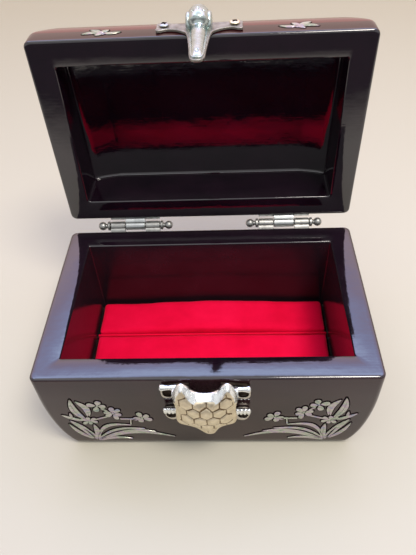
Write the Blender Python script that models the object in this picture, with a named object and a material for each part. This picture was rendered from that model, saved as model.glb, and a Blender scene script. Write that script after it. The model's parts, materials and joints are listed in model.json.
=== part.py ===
"""Lacquered jewelry box with a hinged domed lid, a ring cushion, pearl inlay and a turtle latch.

Metres, +Z up. The origin is the centre of the underside of the base and the front faces -Y.
The lid is modelled shut, about its hinge axis, and an empty on that axis holds it open.
"""
import math

import bmesh
import bpy
from mathutils import Matrix, Vector

# Driving dimensions.
WIDTH = 0.127
DEPTH = 0.0814
BASE_HEIGHT = 0.0463
END_WALL = 0.0097
SIDE_WALL = 0.0098
GAP = 0.0003
HALF_W = WIDTH / 2
HALF_D = DEPTH / 2
INNER_W = HALF_W - END_WALL
INNER_D = HALF_D - SIDE_WALL
CORNER_RADIUS = 0.0025
CORNER_STEPS = 4

# Base: the ends run straight down from the rim and then curve in to the bottom.
BASE_STRAIGHT = 0.012
BASE_END_INSET = 0.0103
FELT_THICK = 0.0006
FLOOR_THICK = 0.0028
CURVE_STEPS = 9

# Lid: vertical walls, then a dome whose ends are rounded as well.
LID_RIM_GAP = 0.0004
LID_STRAIGHT = 0.008
LID_RISE = 0.032
LID_END_ROUND = 0.012
LID_TOP_SEAM = 0.017
LID_CEILING = 0.0218
LID_CEILING_BEND = (0.30, 0.65)
LID_CEILING_SLOPE = 0.094
DOME_STEPS = 16
DOME_END_STEPS = 6

# Ring cushion.
BOARD_THICK = 0.0010
ROLL_HEIGHT = 0.0040
ROLL_SHOULDER = 0.0022
ROLL_ARCHES = (("front", 0.0004), ("middle", 0.0008), ("rear", 0.0022))
ROLL_STATIONS = 8
CUSHION_CLEARANCE = 0.0005

# Hinges.
OPEN_ANGLE = math.radians(90)
HINGE_OFFSET = 0.0038
HINGE_Y = HALF_D + HINGE_OFFSET
HINGE_Z = BASE_HEIGHT
HINGE_X = 0.0342
BARREL_RADIUS = 0.0020
BORE_RADIUS = 0.0012
PIN_RADIUS = 0.0009
CENTRE_KNUCKLE = 0.0090
OUTER_KNUCKLE = 0.0066
LEAF_THICK = 0.0010
LEAF_DROP = 0.0100
LEAF_SCREW_X = 0.0070
LEAF_SCREW_DROP = 0.0062
ROUND_STEPS = 20

# Screws: head radius, head height, shank radius and shank length.
SCREW_HEAD = 0.0019
SCREW_HEAD_HIGH = 0.0009
SCREW_SHANK = 0.0009
SCREW_LENGTH = 0.0050
SCREW_SLOT = 0.0006
SCREW_SLOT_DEEP = 0.0005
PILOT_RADIUS = SCREW_SHANK + 0.0003

# Hasp on the lid and turtle latch on the base; heights are measured from the rim.
PLATE_THICK = 0.0010
HASP_SCREW_X = 0.0127
HASP_SCREW_Z = 0.0070
LATCH_SCREW_X = 0.0140
LATCH_SCREW_Z = -0.0205
PIVOT_OUT = 0.0036
PIVOT_DROP = 0.0030
PIVOT_PIN_RADIUS = 0.0008
PIVOT_BORE = 0.0011
PIVOT_PIN_ENDS = (0.0090, 0.0158)
HUB_RADIUS = 0.0020
HUB_ENDS = (0.0084, 0.0116)
EAR_ENDS = (0.0120, 0.0162)
SHELL_BACK = 0.0046
SHELL_EDGE = 0.0016
SHELL_LIP = 0.0024
SHELL_LIP_START = -0.0030
SHELL_LIP_DEPTH = 0.0080
SHELL_CROWN = 0.0036

# Inlay plates.
INLAY_GAP = 0.0001
INLAY_THICK = 0.00025

WOOD = (0.035, 0.006, 0.012)
BRIGHT = (0.78, 0.78, 0.76)
GOLD = (0.72, 0.60, 0.42)
PEWTER = (0.48, 0.45, 0.38)
VELVET = (0.72, 0.01, 0.05)
PEARL = (0.70, 0.72, 0.66)
FELT = (0.05, 0.01, 0.02)


def clear_scene():
    for old in list(bpy.data.objects):
        bpy.data.objects.remove(old)


def material(name, colour, roughness, metallic=0.0):
    made = bpy.data.materials.new(name)
    made.use_nodes = True
    shader = made.node_tree.nodes["Principled BSDF"]
    shader.inputs["Base Color"].default_value = (*colour, 1.0)
    shader.inputs["Roughness"].default_value = roughness
    shader.inputs["Metallic"].default_value = metallic
    return made


def add_object(name, bm, finish, pivot=None, smooth=True):
    """Make an object from bm. With a pivot, its origin is there and it hangs on that empty."""
    bmesh.ops.recalc_face_normals(bm, faces=bm.faces)
    if pivot is not None:
        bmesh.ops.translate(bm, verts=bm.verts, vec=-pivot["at"])
    mesh = bpy.data.meshes.new(name)
    bm.to_mesh(mesh)
    bm.free()
    if smooth:
        mesh.shade_smooth()
        mesh.set_sharp_from_angle(angle=math.radians(35))
    made = bpy.data.objects.new(name, mesh)
    bpy.context.collection.objects.link(made)
    made.data.materials.append(finish)
    if pivot is not None:
        made.parent = pivot["empty"]
    return made


def add_pivot(name, at, turn=0.0):
    empty = bpy.data.objects.new(name, None)
    empty.location = at
    empty.rotation_euler = (turn, 0.0, 0.0)
    bpy.context.collection.objects.link(empty)
    return {"empty": empty, "at": Vector(at)}


def boolean(target, cutter, operation):
    cutter.hide_render = True
    cutter.display_type = "WIRE"
    if target.parent is not None:
        cutter.parent = target.parent
    step = target.modifiers.new(cutter.name, "BOOLEAN")
    step.operation = operation
    step.solver = "EXACT"
    step.object = cutter


def loft(rings):
    """Bridge equal rings of points and close both ends."""
    bm = bmesh.new()
    made = [[bm.verts.new(point) for point in ring] for ring in rings]
    count = len(made[0])
    for lower, upper in zip(made, made[1:]):
        for i in range(count):
            j = (i + 1) % count
            bm.faces.new((lower[i], lower[j], upper[j], upper[i]))
    bm.faces.new(made[0])
    bm.faces.new(made[-1])
    return bm


def box(low, high):
    bm = bmesh.new()
    size = Vector(high) - Vector(low)
    middle = (Vector(high) + Vector(low)) / 2
    place = Matrix.Translation(middle) @ Matrix.Diagonal((*size, 1.0))
    bmesh.ops.create_cube(bm, size=1.0, matrix=place)
    return bm


def front_plate(outline, near, far):
    """Prism of an (x, z) outline between two distances in front of the front face."""
    return loft([[(x, -HALF_D - out, z) for x, z in outline] for out in (near, far)])


def turned(profile, centre, along="X"):
    """Turn an open (distance, radius) profile about an axis; both ends are closed."""
    bm = bmesh.new()
    rings = []
    for distance, radius in profile:
        ring = []
        for i in range(ROUND_STEPS):
            angle = 2 * math.pi * i / ROUND_STEPS
            a, b = radius * math.cos(angle), radius * math.sin(angle)
            point = (distance, a, b) if along == "X" else (a, distance, b)
            ring.append(bm.verts.new(Vector(centre) + Vector(point)))
        rings.append(ring)
    for lower, upper in zip(rings, rings[1:]):
        for i in range(ROUND_STEPS):
            j = (i + 1) % ROUND_STEPS
            bm.faces.new((lower[i], lower[j], upper[j], upper[i]))
    bm.faces.new(rings[0])
    bm.faces.new(rings[-1])
    return bm


def mirrored(half):
    """Complete an (x, z) outline from its right half, listed from top to bottom."""
    return half + [(-x, z) for x, z in reversed(half) if abs(x) > 1e-6]


# ---------------------------------------------------------------- shells

def rounded_rectangle(half_x, half_y, z):
    points = []
    for sign_x, sign_y, start in ((1, 1, 0), (-1, 1, 90), (-1, -1, 180), (1, -1, 270)):
        cx = sign_x * (half_x - CORNER_RADIUS)
        cy = sign_y * (half_y - CORNER_RADIUS)
        for i in range(CORNER_STEPS + 1):
            angle = math.radians(start + 90 * i / CORNER_STEPS)
            point = (cx + CORNER_RADIUS * math.cos(angle), cy + CORNER_RADIUS * math.sin(angle), z)
            points.append(point)
    return points


def base_half_width(z):
    bend = BASE_HEIGHT - BASE_STRAIGHT
    if z >= bend:
        return HALF_W
    fall = (bend - z) / bend
    return HALF_W - BASE_END_INSET * (1 - math.sqrt(max(0.0, 1 - fall * fall)))


def base_block():
    bend = BASE_HEIGHT - BASE_STRAIGHT
    levels = [bend * (1 - math.cos(math.pi / 2 * i / CURVE_STEPS)) for i in range(CURVE_STEPS + 1)]
    levels.append(BASE_HEIGHT)
    return loft([rounded_rectangle(base_half_width(z), HALF_D, z) for z in levels])


def corner_pull(x, y):
    """Move a point of the square plan inwards so that the plan's corners become round."""
    dx = abs(x) - (HALF_W - CORNER_RADIUS)
    dy = abs(y) - (HALF_D - CORNER_RADIUS)
    if dx <= 0 or dy <= 0:
        return x, y
    scale = max(dx, dy) / math.hypot(dx, dy)
    px = HALF_W - CORNER_RADIUS + dx * scale
    py = HALF_D - CORNER_RADIUS + dy * scale
    return math.copysign(px, x), math.copysign(py, y)


def lid_block():
    """The whole outside of the lid, shut: a dome on vertical walls, flat across its rim."""
    rim = HINGE_Z + LID_RIM_GAP
    spring = HINGE_Z + LID_STRAIGHT
    right = [math.pi / 2 * i / DOME_END_STEPS for i in range(DOME_END_STEPS + 1)]
    ends = [-angle for angle in reversed(right)] + right
    sweep = [math.pi * (i / DOME_STEPS - 0.5) for i in range(DOME_STEPS + 1)]
    bm = bmesh.new()
    grid = []
    for index, end in enumerate(ends):
        side = 1 if index > DOME_END_STEPS else -1
        x = side * (HALF_W - LID_END_ROUND) + LID_END_ROUND * math.sin(end)
        row = []
        for turn in sweep:
            px, py = corner_pull(x, HALF_D * math.sin(turn))
            height = spring + LID_RISE * max(0.0, math.cos(end) * math.cos(turn))
            row.append(bm.verts.new((px, py, height)))
        grid.append(row)
    for lower, upper in zip(grid, grid[1:]):
        for j in range(DOME_STEPS):
            bm.faces.new((lower[j], upper[j], upper[j + 1], lower[j + 1]))
    loop = [row[0] for row in grid] + grid[-1][1:]
    loop += [row[-1] for row in reversed(grid[:-1])] + list(reversed(grid[0][1:-1]))
    foot = [bm.verts.new((v.co.x, v.co.y, rim)) for v in loop]
    for i in range(len(loop)):
        j = (i + 1) % len(loop)
        bm.faces.new((loop[i], foot[i], foot[j], loop[j]))
    bm.faces.new(foot)
    return bm


def wedge(side, low, high):
    """Plan region of one wall: a trapezoid, mitred at 45 degrees with a gap at the mitre."""
    far = 0.02
    g = GAP / 2 / math.cos(math.radians(45))
    if side in ("front", "back"):
        s = -1 if side == "front" else 1
        outer_x = INNER_W + SIDE_WALL + far - g
        plan = [(-INNER_W + g, s * INNER_D), (INNER_W - g, s * INNER_D)]
        plan += [(outer_x, s * (HALF_D + far)), (-outer_x, s * (HALF_D + far))]
    else:
        s = -1 if side == "left" else 1
        outer_y = INNER_D + END_WALL + far - g
        plan = [(s * INNER_W, -INNER_D + g), (s * INNER_W, INNER_D - g)]
        plan += [(s * (HALF_W + far), outer_y), (s * (HALF_W + far), -outer_y)]
    return loft([[(x, y, z) for x, y in plan] for z in (low, high)])


def carve(target, name, bm, operation, pivot=None):
    cutter = add_object(name, bm, target.data.materials[0], pivot, smooth=False)
    boolean(target, cutter, operation)


def pilot_hole(target, name, at, pivot=None):
    hole = turned([(-0.002, PILOT_RADIUS), (0.0075, PILOT_RADIUS)], (0, 0, 0), along="Y")
    if at[1] > 0:
        bmesh.ops.rotate(hole, verts=hole.verts, matrix=Matrix.Rotation(math.pi, 3, "Z"))
    bmesh.ops.translate(hole, verts=hole.verts, vec=at)
    carve(target, name, hole, "DIFFERENCE", pivot)


def build_base(finish, felt):
    low = FELT_THICK + GAP
    floor_top = low + FLOOR_THICK
    for side in ("front", "back", "left", "right"):
        name = f"base_{side}_panel" if side in ("front", "back") else f"base_{side}_end"
        panel = add_object(name, base_block(), finish)
        region = wedge(side, floor_top + GAP, BASE_HEIGHT + 0.01)
        carve(panel, f"cut_{name}", region, "INTERSECT")
        if side == "front":
            for x in (-LATCH_SCREW_X, LATCH_SCREW_X):
                at = Vector((x, -HALF_D, BASE_HEIGHT + LATCH_SCREW_Z))
                pilot_hole(panel, f"pilot_latch_{x * 1000:.0f}", at)
        if side == "back":
            for x in leaf_screw_places():
                at = Vector((x, HALF_D, HINGE_Z - LEAF_SCREW_DROP))
                pilot_hole(panel, f"pilot_base_{x * 1000:.0f}", at)
    floor = add_object("base_floor", base_block(), finish)
    slab = box((-HALF_W, -HALF_D - 0.01, low), (HALF_W, HALF_D + 0.01, floor_top))
    carve(floor, "cut_base_floor", slab, "INTERSECT")
    inset = 0.002
    half_x = base_half_width(0.0) - inset
    sheet = [rounded_rectangle(half_x, HALF_D - inset, z) for z in (0.0, FELT_THICK)]
    add_object("bottom_felt", loft(sheet), felt)


def ceiling_height(across):
    """Height of the lid's ceiling over the rim, at a share of the way from front (-1) to back (1).

    It is level near the hinge, bends in the middle and slopes down to the front wall.
    """
    start, end = LID_CEILING_BEND
    fall = 0.0
    if across < end:
        turned_through = (end - max(across, start)) / (end - start)
        fall += INNER_D * (end - start) * turned_through ** 2 / 2
    if across < start:
        fall += INNER_D * (start - across)
    return LID_CEILING - LID_CEILING_SLOPE * fall


def lid_ceiling():
    """The space under the dome, as a block along the inside of the lid with the ceiling's section."""
    rings = []
    for x in (-INNER_W, INNER_W):
        ring = []
        for i in range(DOME_STEPS + 1):
            across = math.sin(math.pi * (i / DOME_STEPS - 0.5))
            ring.append((x, INNER_D * across, HINGE_Z + ceiling_height(across)))
        ring.append((x, INNER_D, HINGE_Z + LID_TOP_SEAM - 0.005))
        ring.append((x, -INNER_D, HINGE_Z + LID_TOP_SEAM - 0.005))
        rings.append(ring)
    return loft(rings)


def build_lid(finish, pivot):
    seam = HINGE_Z + LID_TOP_SEAM
    for side in ("front", "back", "left", "right"):
        name = f"lid_{side}_panel" if side in ("front", "back") else f"lid_{side}_end"
        panel = add_object(name, lid_block(), finish, pivot)
        region = wedge(side, HINGE_Z - 0.01, seam - GAP / 2)
        carve(panel, f"cut_{name}", region, "INTERSECT", pivot)
        if side == "front":
            for x in (-HASP_SCREW_X, HASP_SCREW_X):
                at = Vector((x, -HALF_D, HINGE_Z + HASP_SCREW_Z))
                pilot_hole(panel, f"pilot_hasp_{x * 1000:.0f}", at, pivot)
        if side == "back":
            for x in leaf_screw_places():
                at = Vector((x, HALF_D, HINGE_Z + LEAF_SCREW_DROP))
                pilot_hole(panel, f"pilot_lid_{x * 1000:.0f}", at, pivot)
    top = add_object("lid_top_panel", lid_block(), finish, pivot)
    above = box((-HALF_W - 0.01, -HALF_D - 0.01, seam + GAP / 2), (HALF_W + 0.01, HALF_D + 0.01, 0.12))
    carve(top, "cut_lid_top_panel", above, "INTERSECT", pivot)
    carve(top, "cut_lid_ceiling", lid_ceiling(), "DIFFERENCE", pivot)


# ---------------------------------------------------------------- cushion

def roll_section(near, far, low, high):
    """Side view of one roll: flat underneath, with round shoulders and a flat crown."""
    middle, half = (near + far) / 2, (far - near) / 2
    points = [(near, low), (far, low)]
    for i in range(9):
        angle = math.pi * i / 8
        rise = (high - low - ROLL_SHOULDER) * math.sin(angle) ** 0.6
        points.append((middle + half * math.cos(angle), low + ROLL_SHOULDER + rise))
    return points


def build_cushion(velvet, card):
    floor_top = FELT_THICK + GAP + FLOOR_THICK
    half_x = INNER_W - CUSHION_CLEARANCE
    half_y = INNER_D - CUSHION_CLEARANCE
    low = floor_top + GAP
    board = box((-half_x, -half_y, low), (half_x, half_y, low + BOARD_THICK))
    add_object("cushion_board", board, card, smooth=False)
    low += BOARD_THICK + GAP
    pitch = 2 * half_y / len(ROLL_ARCHES)
    for i, (where, arch) in enumerate(ROLL_ARCHES):
        near = -half_y + pitch * i + GAP / 2
        rings = []
        for station in range(ROLL_STATIONS + 1):
            across = 2 * station / ROLL_STATIONS - 1
            high = low + ROLL_HEIGHT + arch * math.cos(math.pi / 2 * across) ** 2
            section = roll_section(near, near + pitch - GAP, low, high)
            rings.append([(half_x * across, y, z) for y, z in section])
        add_object(f"cushion_roll_{where}", loft(rings), velvet)


# ---------------------------------------------------------------- screws

def screw_mesh():
    """A slotted pan-head screw with its head towards -Y and its seat at the origin."""
    bm = bmesh.new()
    slot_angle = math.asin(SCREW_SLOT / 2 / SCREW_HEAD)
    arc = math.pi - 2 * slot_angle
    steps = 8
    right = [-math.pi / 2 + slot_angle + arc * i / steps for i in range(steps + 1)]
    left = [angle + math.pi for angle in right]
    floor_y = -(SCREW_HEAD_HIGH - SCREW_SLOT_DEEP)

    def ring(radius, y, angles):
        return [bm.verts.new((radius * math.cos(a), y, radius * math.sin(a))) for a in angles]

    angles = right + left
    tip = ring(SCREW_SHANK * 0.4, SCREW_LENGTH, angles)
    shank = ring(SCREW_SHANK, SCREW_LENGTH - 0.001, angles)
    neck = ring(SCREW_SHANK, 0.0, angles)
    seat = ring(SCREW_HEAD, 0.0, angles)
    edge = ring(SCREW_HEAD, floor_y, angles)
    count = len(angles)
    for lower, upper in ((tip, shank), (shank, neck), (neck, seat), (seat, edge)):
        for i in range(count):
            j = (i + 1) % count
            bm.faces.new((lower[i], lower[j], upper[j], upper[i]))
    bm.faces.new(tip)
    split = len(right)
    sides = (edge[:split], edge[split:])
    bm.faces.new((sides[0][0], sides[0][-1], sides[1][0], sides[1][-1]))
    for side in sides:
        crown = [bm.verts.new(v.co * 0.82) for v in side]
        for vert in crown:
            vert.co.y = -SCREW_HEAD_HIGH
        crown[0].co.z = side[0].co.z * 0.82
        for i in range(len(side)):
            j = (i + 1) % len(side)
            bm.faces.new((side[i], side[j], crown[j], crown[i]))
        bm.faces.new(crown)
    bmesh.ops.recalc_face_normals(bm, faces=bm.faces)
    return bm


def add_screw(name, finish, at, pivot=None):
    bm = screw_mesh()
    if at[1] > 0:
        bmesh.ops.rotate(bm, verts=bm.verts, matrix=Matrix.Rotation(math.pi, 3, "Z"))
    bmesh.ops.translate(bm, verts=bm.verts, vec=at)
    add_object(name, bm, finish, pivot)


# ---------------------------------------------------------------- hinges

def leaf_screw_places():
    return [side * HINGE_X + dx for side in (-1, 1) for dx in (-LEAF_SCREW_X, LEAF_SCREW_X)]


def knuckle_spans(outer):
    half = CENTRE_KNUCKLE / 2
    if not outer:
        return [(-half, half)]
    start = half + GAP
    return [(-start - OUTER_KNUCKLE, -start), (start, start + OUTER_KNUCKLE)]


def add_leaf(name, finish, x, up, pivot=None):
    """A hinge leaf against the back face, with its knuckles: up is 1 on the lid, -1 on the base."""
    reach = CENTRE_KNUCKLE / 2 + GAP + OUTER_KNUCKLE
    face = HALF_D + GAP
    ends = sorted((HINGE_Z + up * 0.0015, HINGE_Z + up * LEAF_DROP))
    plate = box((x - reach, face, ends[0]), (x + reach, face + LEAF_THICK, ends[1]))
    leaf = add_object(name, plate, finish, pivot)
    for i, (start, stop) in enumerate(knuckle_spans(up < 0)):
        tube = turned([(start, BARREL_RADIUS), (stop, BARREL_RADIUS)], (x, HINGE_Y, HINGE_Z))
        carve(leaf, f"{name}_knuckle_{i}", tube, "UNION", pivot)
        levels = sorted((HINGE_Z + up * 0.0010, HINGE_Z + up * BARREL_RADIUS))
        web = box((x + start, face + LEAF_THICK / 2, levels[0]), (x + stop, HINGE_Y, levels[1]))
        carve(leaf, f"{name}_web_{i}", web, "UNION", pivot)
    bore = turned([(-0.02, BORE_RADIUS), (0.02, BORE_RADIUS)], (x, HINGE_Y, HINGE_Z))
    carve(leaf, f"{name}_bore", bore, "DIFFERENCE", pivot)
    for i, dx in enumerate((-LEAF_SCREW_X, LEAF_SCREW_X)):
        at = Vector((x + dx, HALF_D, HINGE_Z + up * LEAF_SCREW_DROP))
        pilot_hole(leaf, f"{name}_hole_{i}", at, pivot)


def finial_profile(start):
    """Collar, neck and ball, from start outwards."""
    ball = 0.00195
    centre = start + 0.0037
    points = [(start, 0.0021), (start + 0.0012, 0.0021), (start + 0.0014, 0.0010)]
    for i in range(7):
        angle = math.radians(150 - 24 * i)
        points.append((centre + ball * math.cos(angle), ball * math.sin(angle)))
    return points


def add_hinge(side, x, finish, pivot):
    add_leaf(f"hinge_{side}_base_leaf", finish, x, -1)
    add_leaf(f"hinge_{side}_lid_leaf", finish, x, 1, pivot)
    end = CENTRE_KNUCKLE / 2 + GAP + OUTER_KNUCKLE + GAP
    tip = finial_profile(end)
    pin = [(-d, r) for d, r in reversed(tip)] + [(-end, PIN_RADIUS), (end + 0.0008, PIN_RADIUS)]
    add_object(f"hinge_{side}_pin", turned(pin, (x, HINGE_Y, HINGE_Z)), finish)
    socket = [(end + 0.0011, BORE_RADIUS), (end, BORE_RADIUS)]
    add_object(f"hinge_{side}_finial", turned(socket + tip, (x, HINGE_Y, HINGE_Z)), finish)
    seat = HALF_D + GAP + LEAF_THICK + GAP
    for number, dx in enumerate((-LEAF_SCREW_X, LEAF_SCREW_X), start=1):
        low = Vector((x + dx, seat, HINGE_Z - LEAF_SCREW_DROP))
        high = Vector((x + dx, seat, HINGE_Z + LEAF_SCREW_DROP))
        add_screw(f"hinge_{side}_base_screw_{number}", finish, low)
        add_screw(f"hinge_{side}_lid_screw_{number}", finish, high, pivot)


# ---------------------------------------------------------------- hasp

HASP_HALF = [(0.0, 0.0088), (0.0070, 0.0090), (0.0100, 0.0092), (0.0135, 0.0104), (0.0159, 0.0094),
             (0.0153, 0.0062), (0.0158, 0.0036), (0.0146, 0.0028), (0.0120, 0.0043),
             (0.0090, 0.0040), (0.0066, 0.0024), (0.0048, 0.0012), (0.0041, -0.0080),
             (0.0034, -0.0170), (0.0030, -0.0205), (0.0018, -0.0220), (0.0, -0.0225)]

# Height from the rim, half-width and projection of the head and the neck below it.
HEAD_SECTIONS = [(0.0120, 0.0014, 0.0014), (0.0114, 0.0032, 0.0036), (0.0098, 0.0046, 0.0056),
                 (0.0074, 0.0052, 0.0068), (0.0050, 0.0051, 0.0068), (0.0032, 0.0046, 0.0058),
                 (0.0024, 0.0041, 0.0040), (0.0016, 0.0036, 0.0026), (-0.0060, 0.0033, 0.0021),
                 (-0.0140, 0.0028, 0.0015), (-0.0190, 0.0024, 0.0009), (-0.0206, 0.0014, 0.0006)]


def add_hasp(finish, pivot):
    near = GAP
    outline = [(x, HINGE_Z + z) for x, z in mirrored(HASP_HALF)]
    plate = add_object("hasp_plate", front_plate(outline, near, near + PLATE_THICK), finish, pivot)
    for i, x in enumerate((-HASP_SCREW_X, HASP_SCREW_X), start=1):
        at = Vector((x, -HALF_D, HINGE_Z + HASP_SCREW_Z))
        pilot_hole(plate, f"hasp_plate_hole_{i}", at, pivot)
        seat = Vector((x, -HALF_D - near - PLATE_THICK - GAP, HINGE_Z + HASP_SCREW_Z))
        add_screw(f"hasp_screw_{i}", finish, seat, pivot)
    back = HALF_D + near + PLATE_THICK + GAP
    rings = []
    for z, half, proud in HEAD_SECTIONS:
        turns = [math.pi * i / 12 for i in range(13)]
        rings.append([(half * math.cos(t), -back - proud * math.sin(t), HINGE_Z + z) for t in turns])
    add_object("hasp_head", loft(rings), finish, pivot)


# ---------------------------------------------------------------- turtle latch

SHELL_HALF = [(0.0, -0.0011), (0.0026, -0.0008), (0.0046, 0.0008), (0.0060, 0.0034),
              (0.0076, 0.0050), (0.0092, 0.0042), (0.0106, 0.0016), (0.0114, -0.0012),
              (0.0116, -0.0044), (0.0109, -0.0072), (0.0108, -0.0110), (0.0112, -0.0156),
              (0.0109, -0.0184), (0.0098, -0.0197), (0.0076, -0.0206), (0.0048, -0.0222),
              (0.0030, -0.0246), (0.0018, -0.0268), (0.0, -0.0276)]

PLATE_HALF = [(0.0056, -0.0012), (0.0090, -0.0012), (0.0118, -0.0016), (0.0158, -0.0016),
              (0.0166, -0.0028), (0.0164, -0.0066), (0.0150, -0.0080), (0.0116, -0.0084),
              (0.0106, -0.0100), (0.0106, -0.0136), (0.0120, -0.0146), (0.0154, -0.0148),
              (0.0166, -0.0164), (0.0170, -0.0200), (0.0158, -0.0232), (0.0140, -0.0244),
              (0.0116, -0.0238), (0.0092, -0.0226), (0.0060, -0.0238), (0.0, -0.0250)]


def shell_edge(z):
    """Thickness of the shell's edge at a height: it is thicker along its top."""
    rise = (z - BASE_HEIGHT - SHELL_LIP_START) / SHELL_LIP_DEPTH
    return SHELL_EDGE + SHELL_LIP * min(1.0, max(0.0, rise))


def dome_plate(outline, centre, back, crown):
    """A plate with a flat back and a crowned front, from an outline around a centre."""
    bm = bmesh.new()
    rear = [bm.verts.new((x, -HALF_D - back, z)) for x, z in outline]
    bm.faces.new(rear)
    previous = rear
    for scale, share in ((1.0, 0.0), (0.92, 0.45), (0.72, 0.8), (0.40, 0.97)):
        ring = []
        for x, z in outline:
            edge = shell_edge(z) * (1 - share) + SHELL_EDGE * share
            out = HALF_D + back + edge + crown * share
            point = (centre[0] + (x - centre[0]) * scale, -out, centre[1] + (z - centre[1]) * scale)
            ring.append(bm.verts.new(point))
        for i in range(len(ring)):
            j = (i + 1) % len(ring)
            bm.faces.new((previous[i], previous[j], ring[j], ring[i]))
        previous = ring
    tip = bm.verts.new((centre[0], -HALF_D - back - SHELL_EDGE - crown, centre[1]))
    for i in range(len(previous)):
        bm.faces.new((previous[i], previous[(i + 1) % len(previous)], tip))
    return bm


def add_latch(bright, gold):
    at = Vector((0.0, -HALF_D - PIVOT_OUT, BASE_HEIGHT - PIVOT_DROP))
    pivot = add_pivot("turtle_pivot", at)
    outline = [(x, BASE_HEIGHT + z) for x, z in mirrored(SHELL_HALF)]
    centre = (0.0, BASE_HEIGHT - 0.0100)
    shell = dome_plate(outline, centre, SHELL_BACK, SHELL_CROWN)
    shell = add_object("turtle_shell", shell, gold, pivot)
    for side, word in ((-1, "left"), (1, "right")):
        hub = turned([(side * x, HUB_RADIUS) for x in HUB_ENDS], at)
        carve(shell, f"turtle_hub_{word}", hub, "UNION", pivot)
        bore = turned([(side * x, PIVOT_BORE) for x in (HUB_ENDS[0] + 0.0003, 0.02)], at)
        carve(shell, f"turtle_bore_{word}", bore, "DIFFERENCE", pivot)

    half = [(x, BASE_HEIGHT + z) for x, z in PLATE_HALF]
    slot = [(0.0056, BASE_HEIGHT - 0.0225)]
    outline = half + [(-x, z) for x, z in reversed(half) if x > 0] + [(-x, z) for x, z in slot] + slot
    plate = add_object("latch_backplate", front_plate(outline, GAP, GAP + PLATE_THICK), bright)
    for i, side in enumerate((-1, 1), start=1):
        foot = Vector((side * LATCH_SCREW_X, -HALF_D, BASE_HEIGHT + LATCH_SCREW_Z))
        pilot_hole(plate, f"latch_foot_hole_{i}", foot)
        seat = foot - Vector((0.0, 2 * GAP + PLATE_THICK, 0.0))
        add_screw(f"latch_screw_{i}", bright, seat)
        ends = sorted(side * x for x in EAR_ENDS)
        root = -GAP - PLATE_THICK / 2
        ear = [(root, at.z - 0.0044), (-PIVOT_OUT - 0.0004, at.z - 0.0044), (-PIVOT_OUT - 0.0012, at.z - 0.0036),
               (-PIVOT_OUT - 0.0019, at.z), (-PIVOT_OUT - 0.0013, at.z + 0.0013),
               (-PIVOT_OUT, at.z + 0.0019), (root, at.z + 0.0013)]
        rings = [[(x, -HALF_D + y, z) for y, z in ear] for x in ends]
        carve(plate, f"latch_ear_{i}", loft(rings), "UNION")
    carve(plate, "latch_ear_bore", turned([(-0.02, PIVOT_BORE), (0.02, PIVOT_BORE)], at), "DIFFERENCE")
    near, far = PIVOT_PIN_ENDS
    rod = [(near, 0.0005), (near + 0.0003, PIVOT_PIN_RADIUS), (far - 0.0003, PIVOT_PIN_RADIUS), (far, 0.0005)]
    for side, word in ((-1, "left"), (1, "right")):
        add_object(f"latch_pivot_pin_{word}", turned([(side * d, r) for d, r in rod], at), bright)
    add_spring(bright)


def add_spring(finish):
    """A bent leaf spring: its foot lies on the backplate and its tip reaches up to the shell."""
    thick = 0.0003
    foot = GAP + PLATE_THICK + GAP
    line = [(foot, -0.0195), (foot, -0.0160), (foot + 0.0007, -0.0140), (foot + 0.0020, -0.0110),
            (foot + 0.0026, -0.0090), (foot + 0.0022, -0.0078)]
    ring = [(out, z) for out, z in line] + [(out + thick, z) for out, z in reversed(line)]
    rings = [[(x, -HALF_D - out, BASE_HEIGHT + z) for out, z in ring] for x in (0.0064, 0.0088)]
    add_object("latch_spring", loft(rings), finish)


# ---------------------------------------------------------------- inlay

# One spray, seen on the right: (x, height from the rim). The left one is its mirror image.
SPRAY_ROOT = (0.0455, -0.0430)
SPRAY_LEAVES = [(0.0512, -0.0132, 0.0034, -0.08), (0.0488, -0.0150, 0.0032, 0.16),
                (0.0568, -0.0240, 0.0022, -0.10), (0.0545, -0.0298, 0.0030, 0.10),
                (0.0315, -0.0305, 0.0030, -0.30), (0.0255, -0.0345, 0.0026, -0.16),
                (0.0135, -0.0400, 0.0016, -0.08), (0.0310, -0.0418, 0.0020, 0.04)]
SPRAY_STEMS = [((0.0455, -0.0430), (0.0462, -0.0276)), ((0.0462, -0.0276), (0.0364, -0.0228)),
               ((0.0364, -0.0228), (0.0256, -0.0262)), ((0.0364, -0.0228), (0.0418, -0.0172))]
SPRAY_FLOWERS = [(0.0462, -0.0276, 0.0028), (0.0364, -0.0228, 0.0034), (0.0256, -0.0262, 0.0028),
                 (0.0418, -0.0172, 0.0028)]
CLUSTER_ROOT = (0.0355, 0.0056)
CLUSTER_LEAVES = [(0.0425, 0.0048, 0.0020, 0.10), (0.0400, 0.0085, 0.0020, 0.10),
                  (0.0330, 0.0080, 0.0020, -0.10), (0.0285, 0.0058, 0.0018, 0.10),
                  (0.0375, 0.0034, 0.0018, -0.10)]
CLUSTER_FLOWERS = [(0.0355, 0.0056, 0.0018)]
STEM_WIDTH = 0.0008
LEAF_STEPS = 5
PETALS = 5


def leaf_outline(root, tip, width, bow):
    """A lens from root to tip whose spine bows sideways by a share of its length."""
    root, tip = Vector(root), Vector(tip)
    along = tip - root
    across = Vector((-along.y, along.x))
    left, right = [], []
    for i in range(1, LEAF_STEPS):
        t = i / LEAF_STEPS
        spine = root + along * t + across * bow * math.sin(math.pi * t)
        half = across.normalized() * width / 2 * math.sin(math.pi * t) ** 0.7
        left.append(spine + half)
        right.append(spine - half)
    foot = across.normalized() * STEM_WIDTH / 2
    return [root - foot] + right + [tip] + list(reversed(left)) + [root + foot]


def stem_outline(start, end):
    start, end = Vector(start), Vector(end)
    half = Vector((start.y - end.y, end.x - start.x)).normalized() * STEM_WIDTH / 2
    return [start - half, end - half, end + half, start + half]


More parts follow.
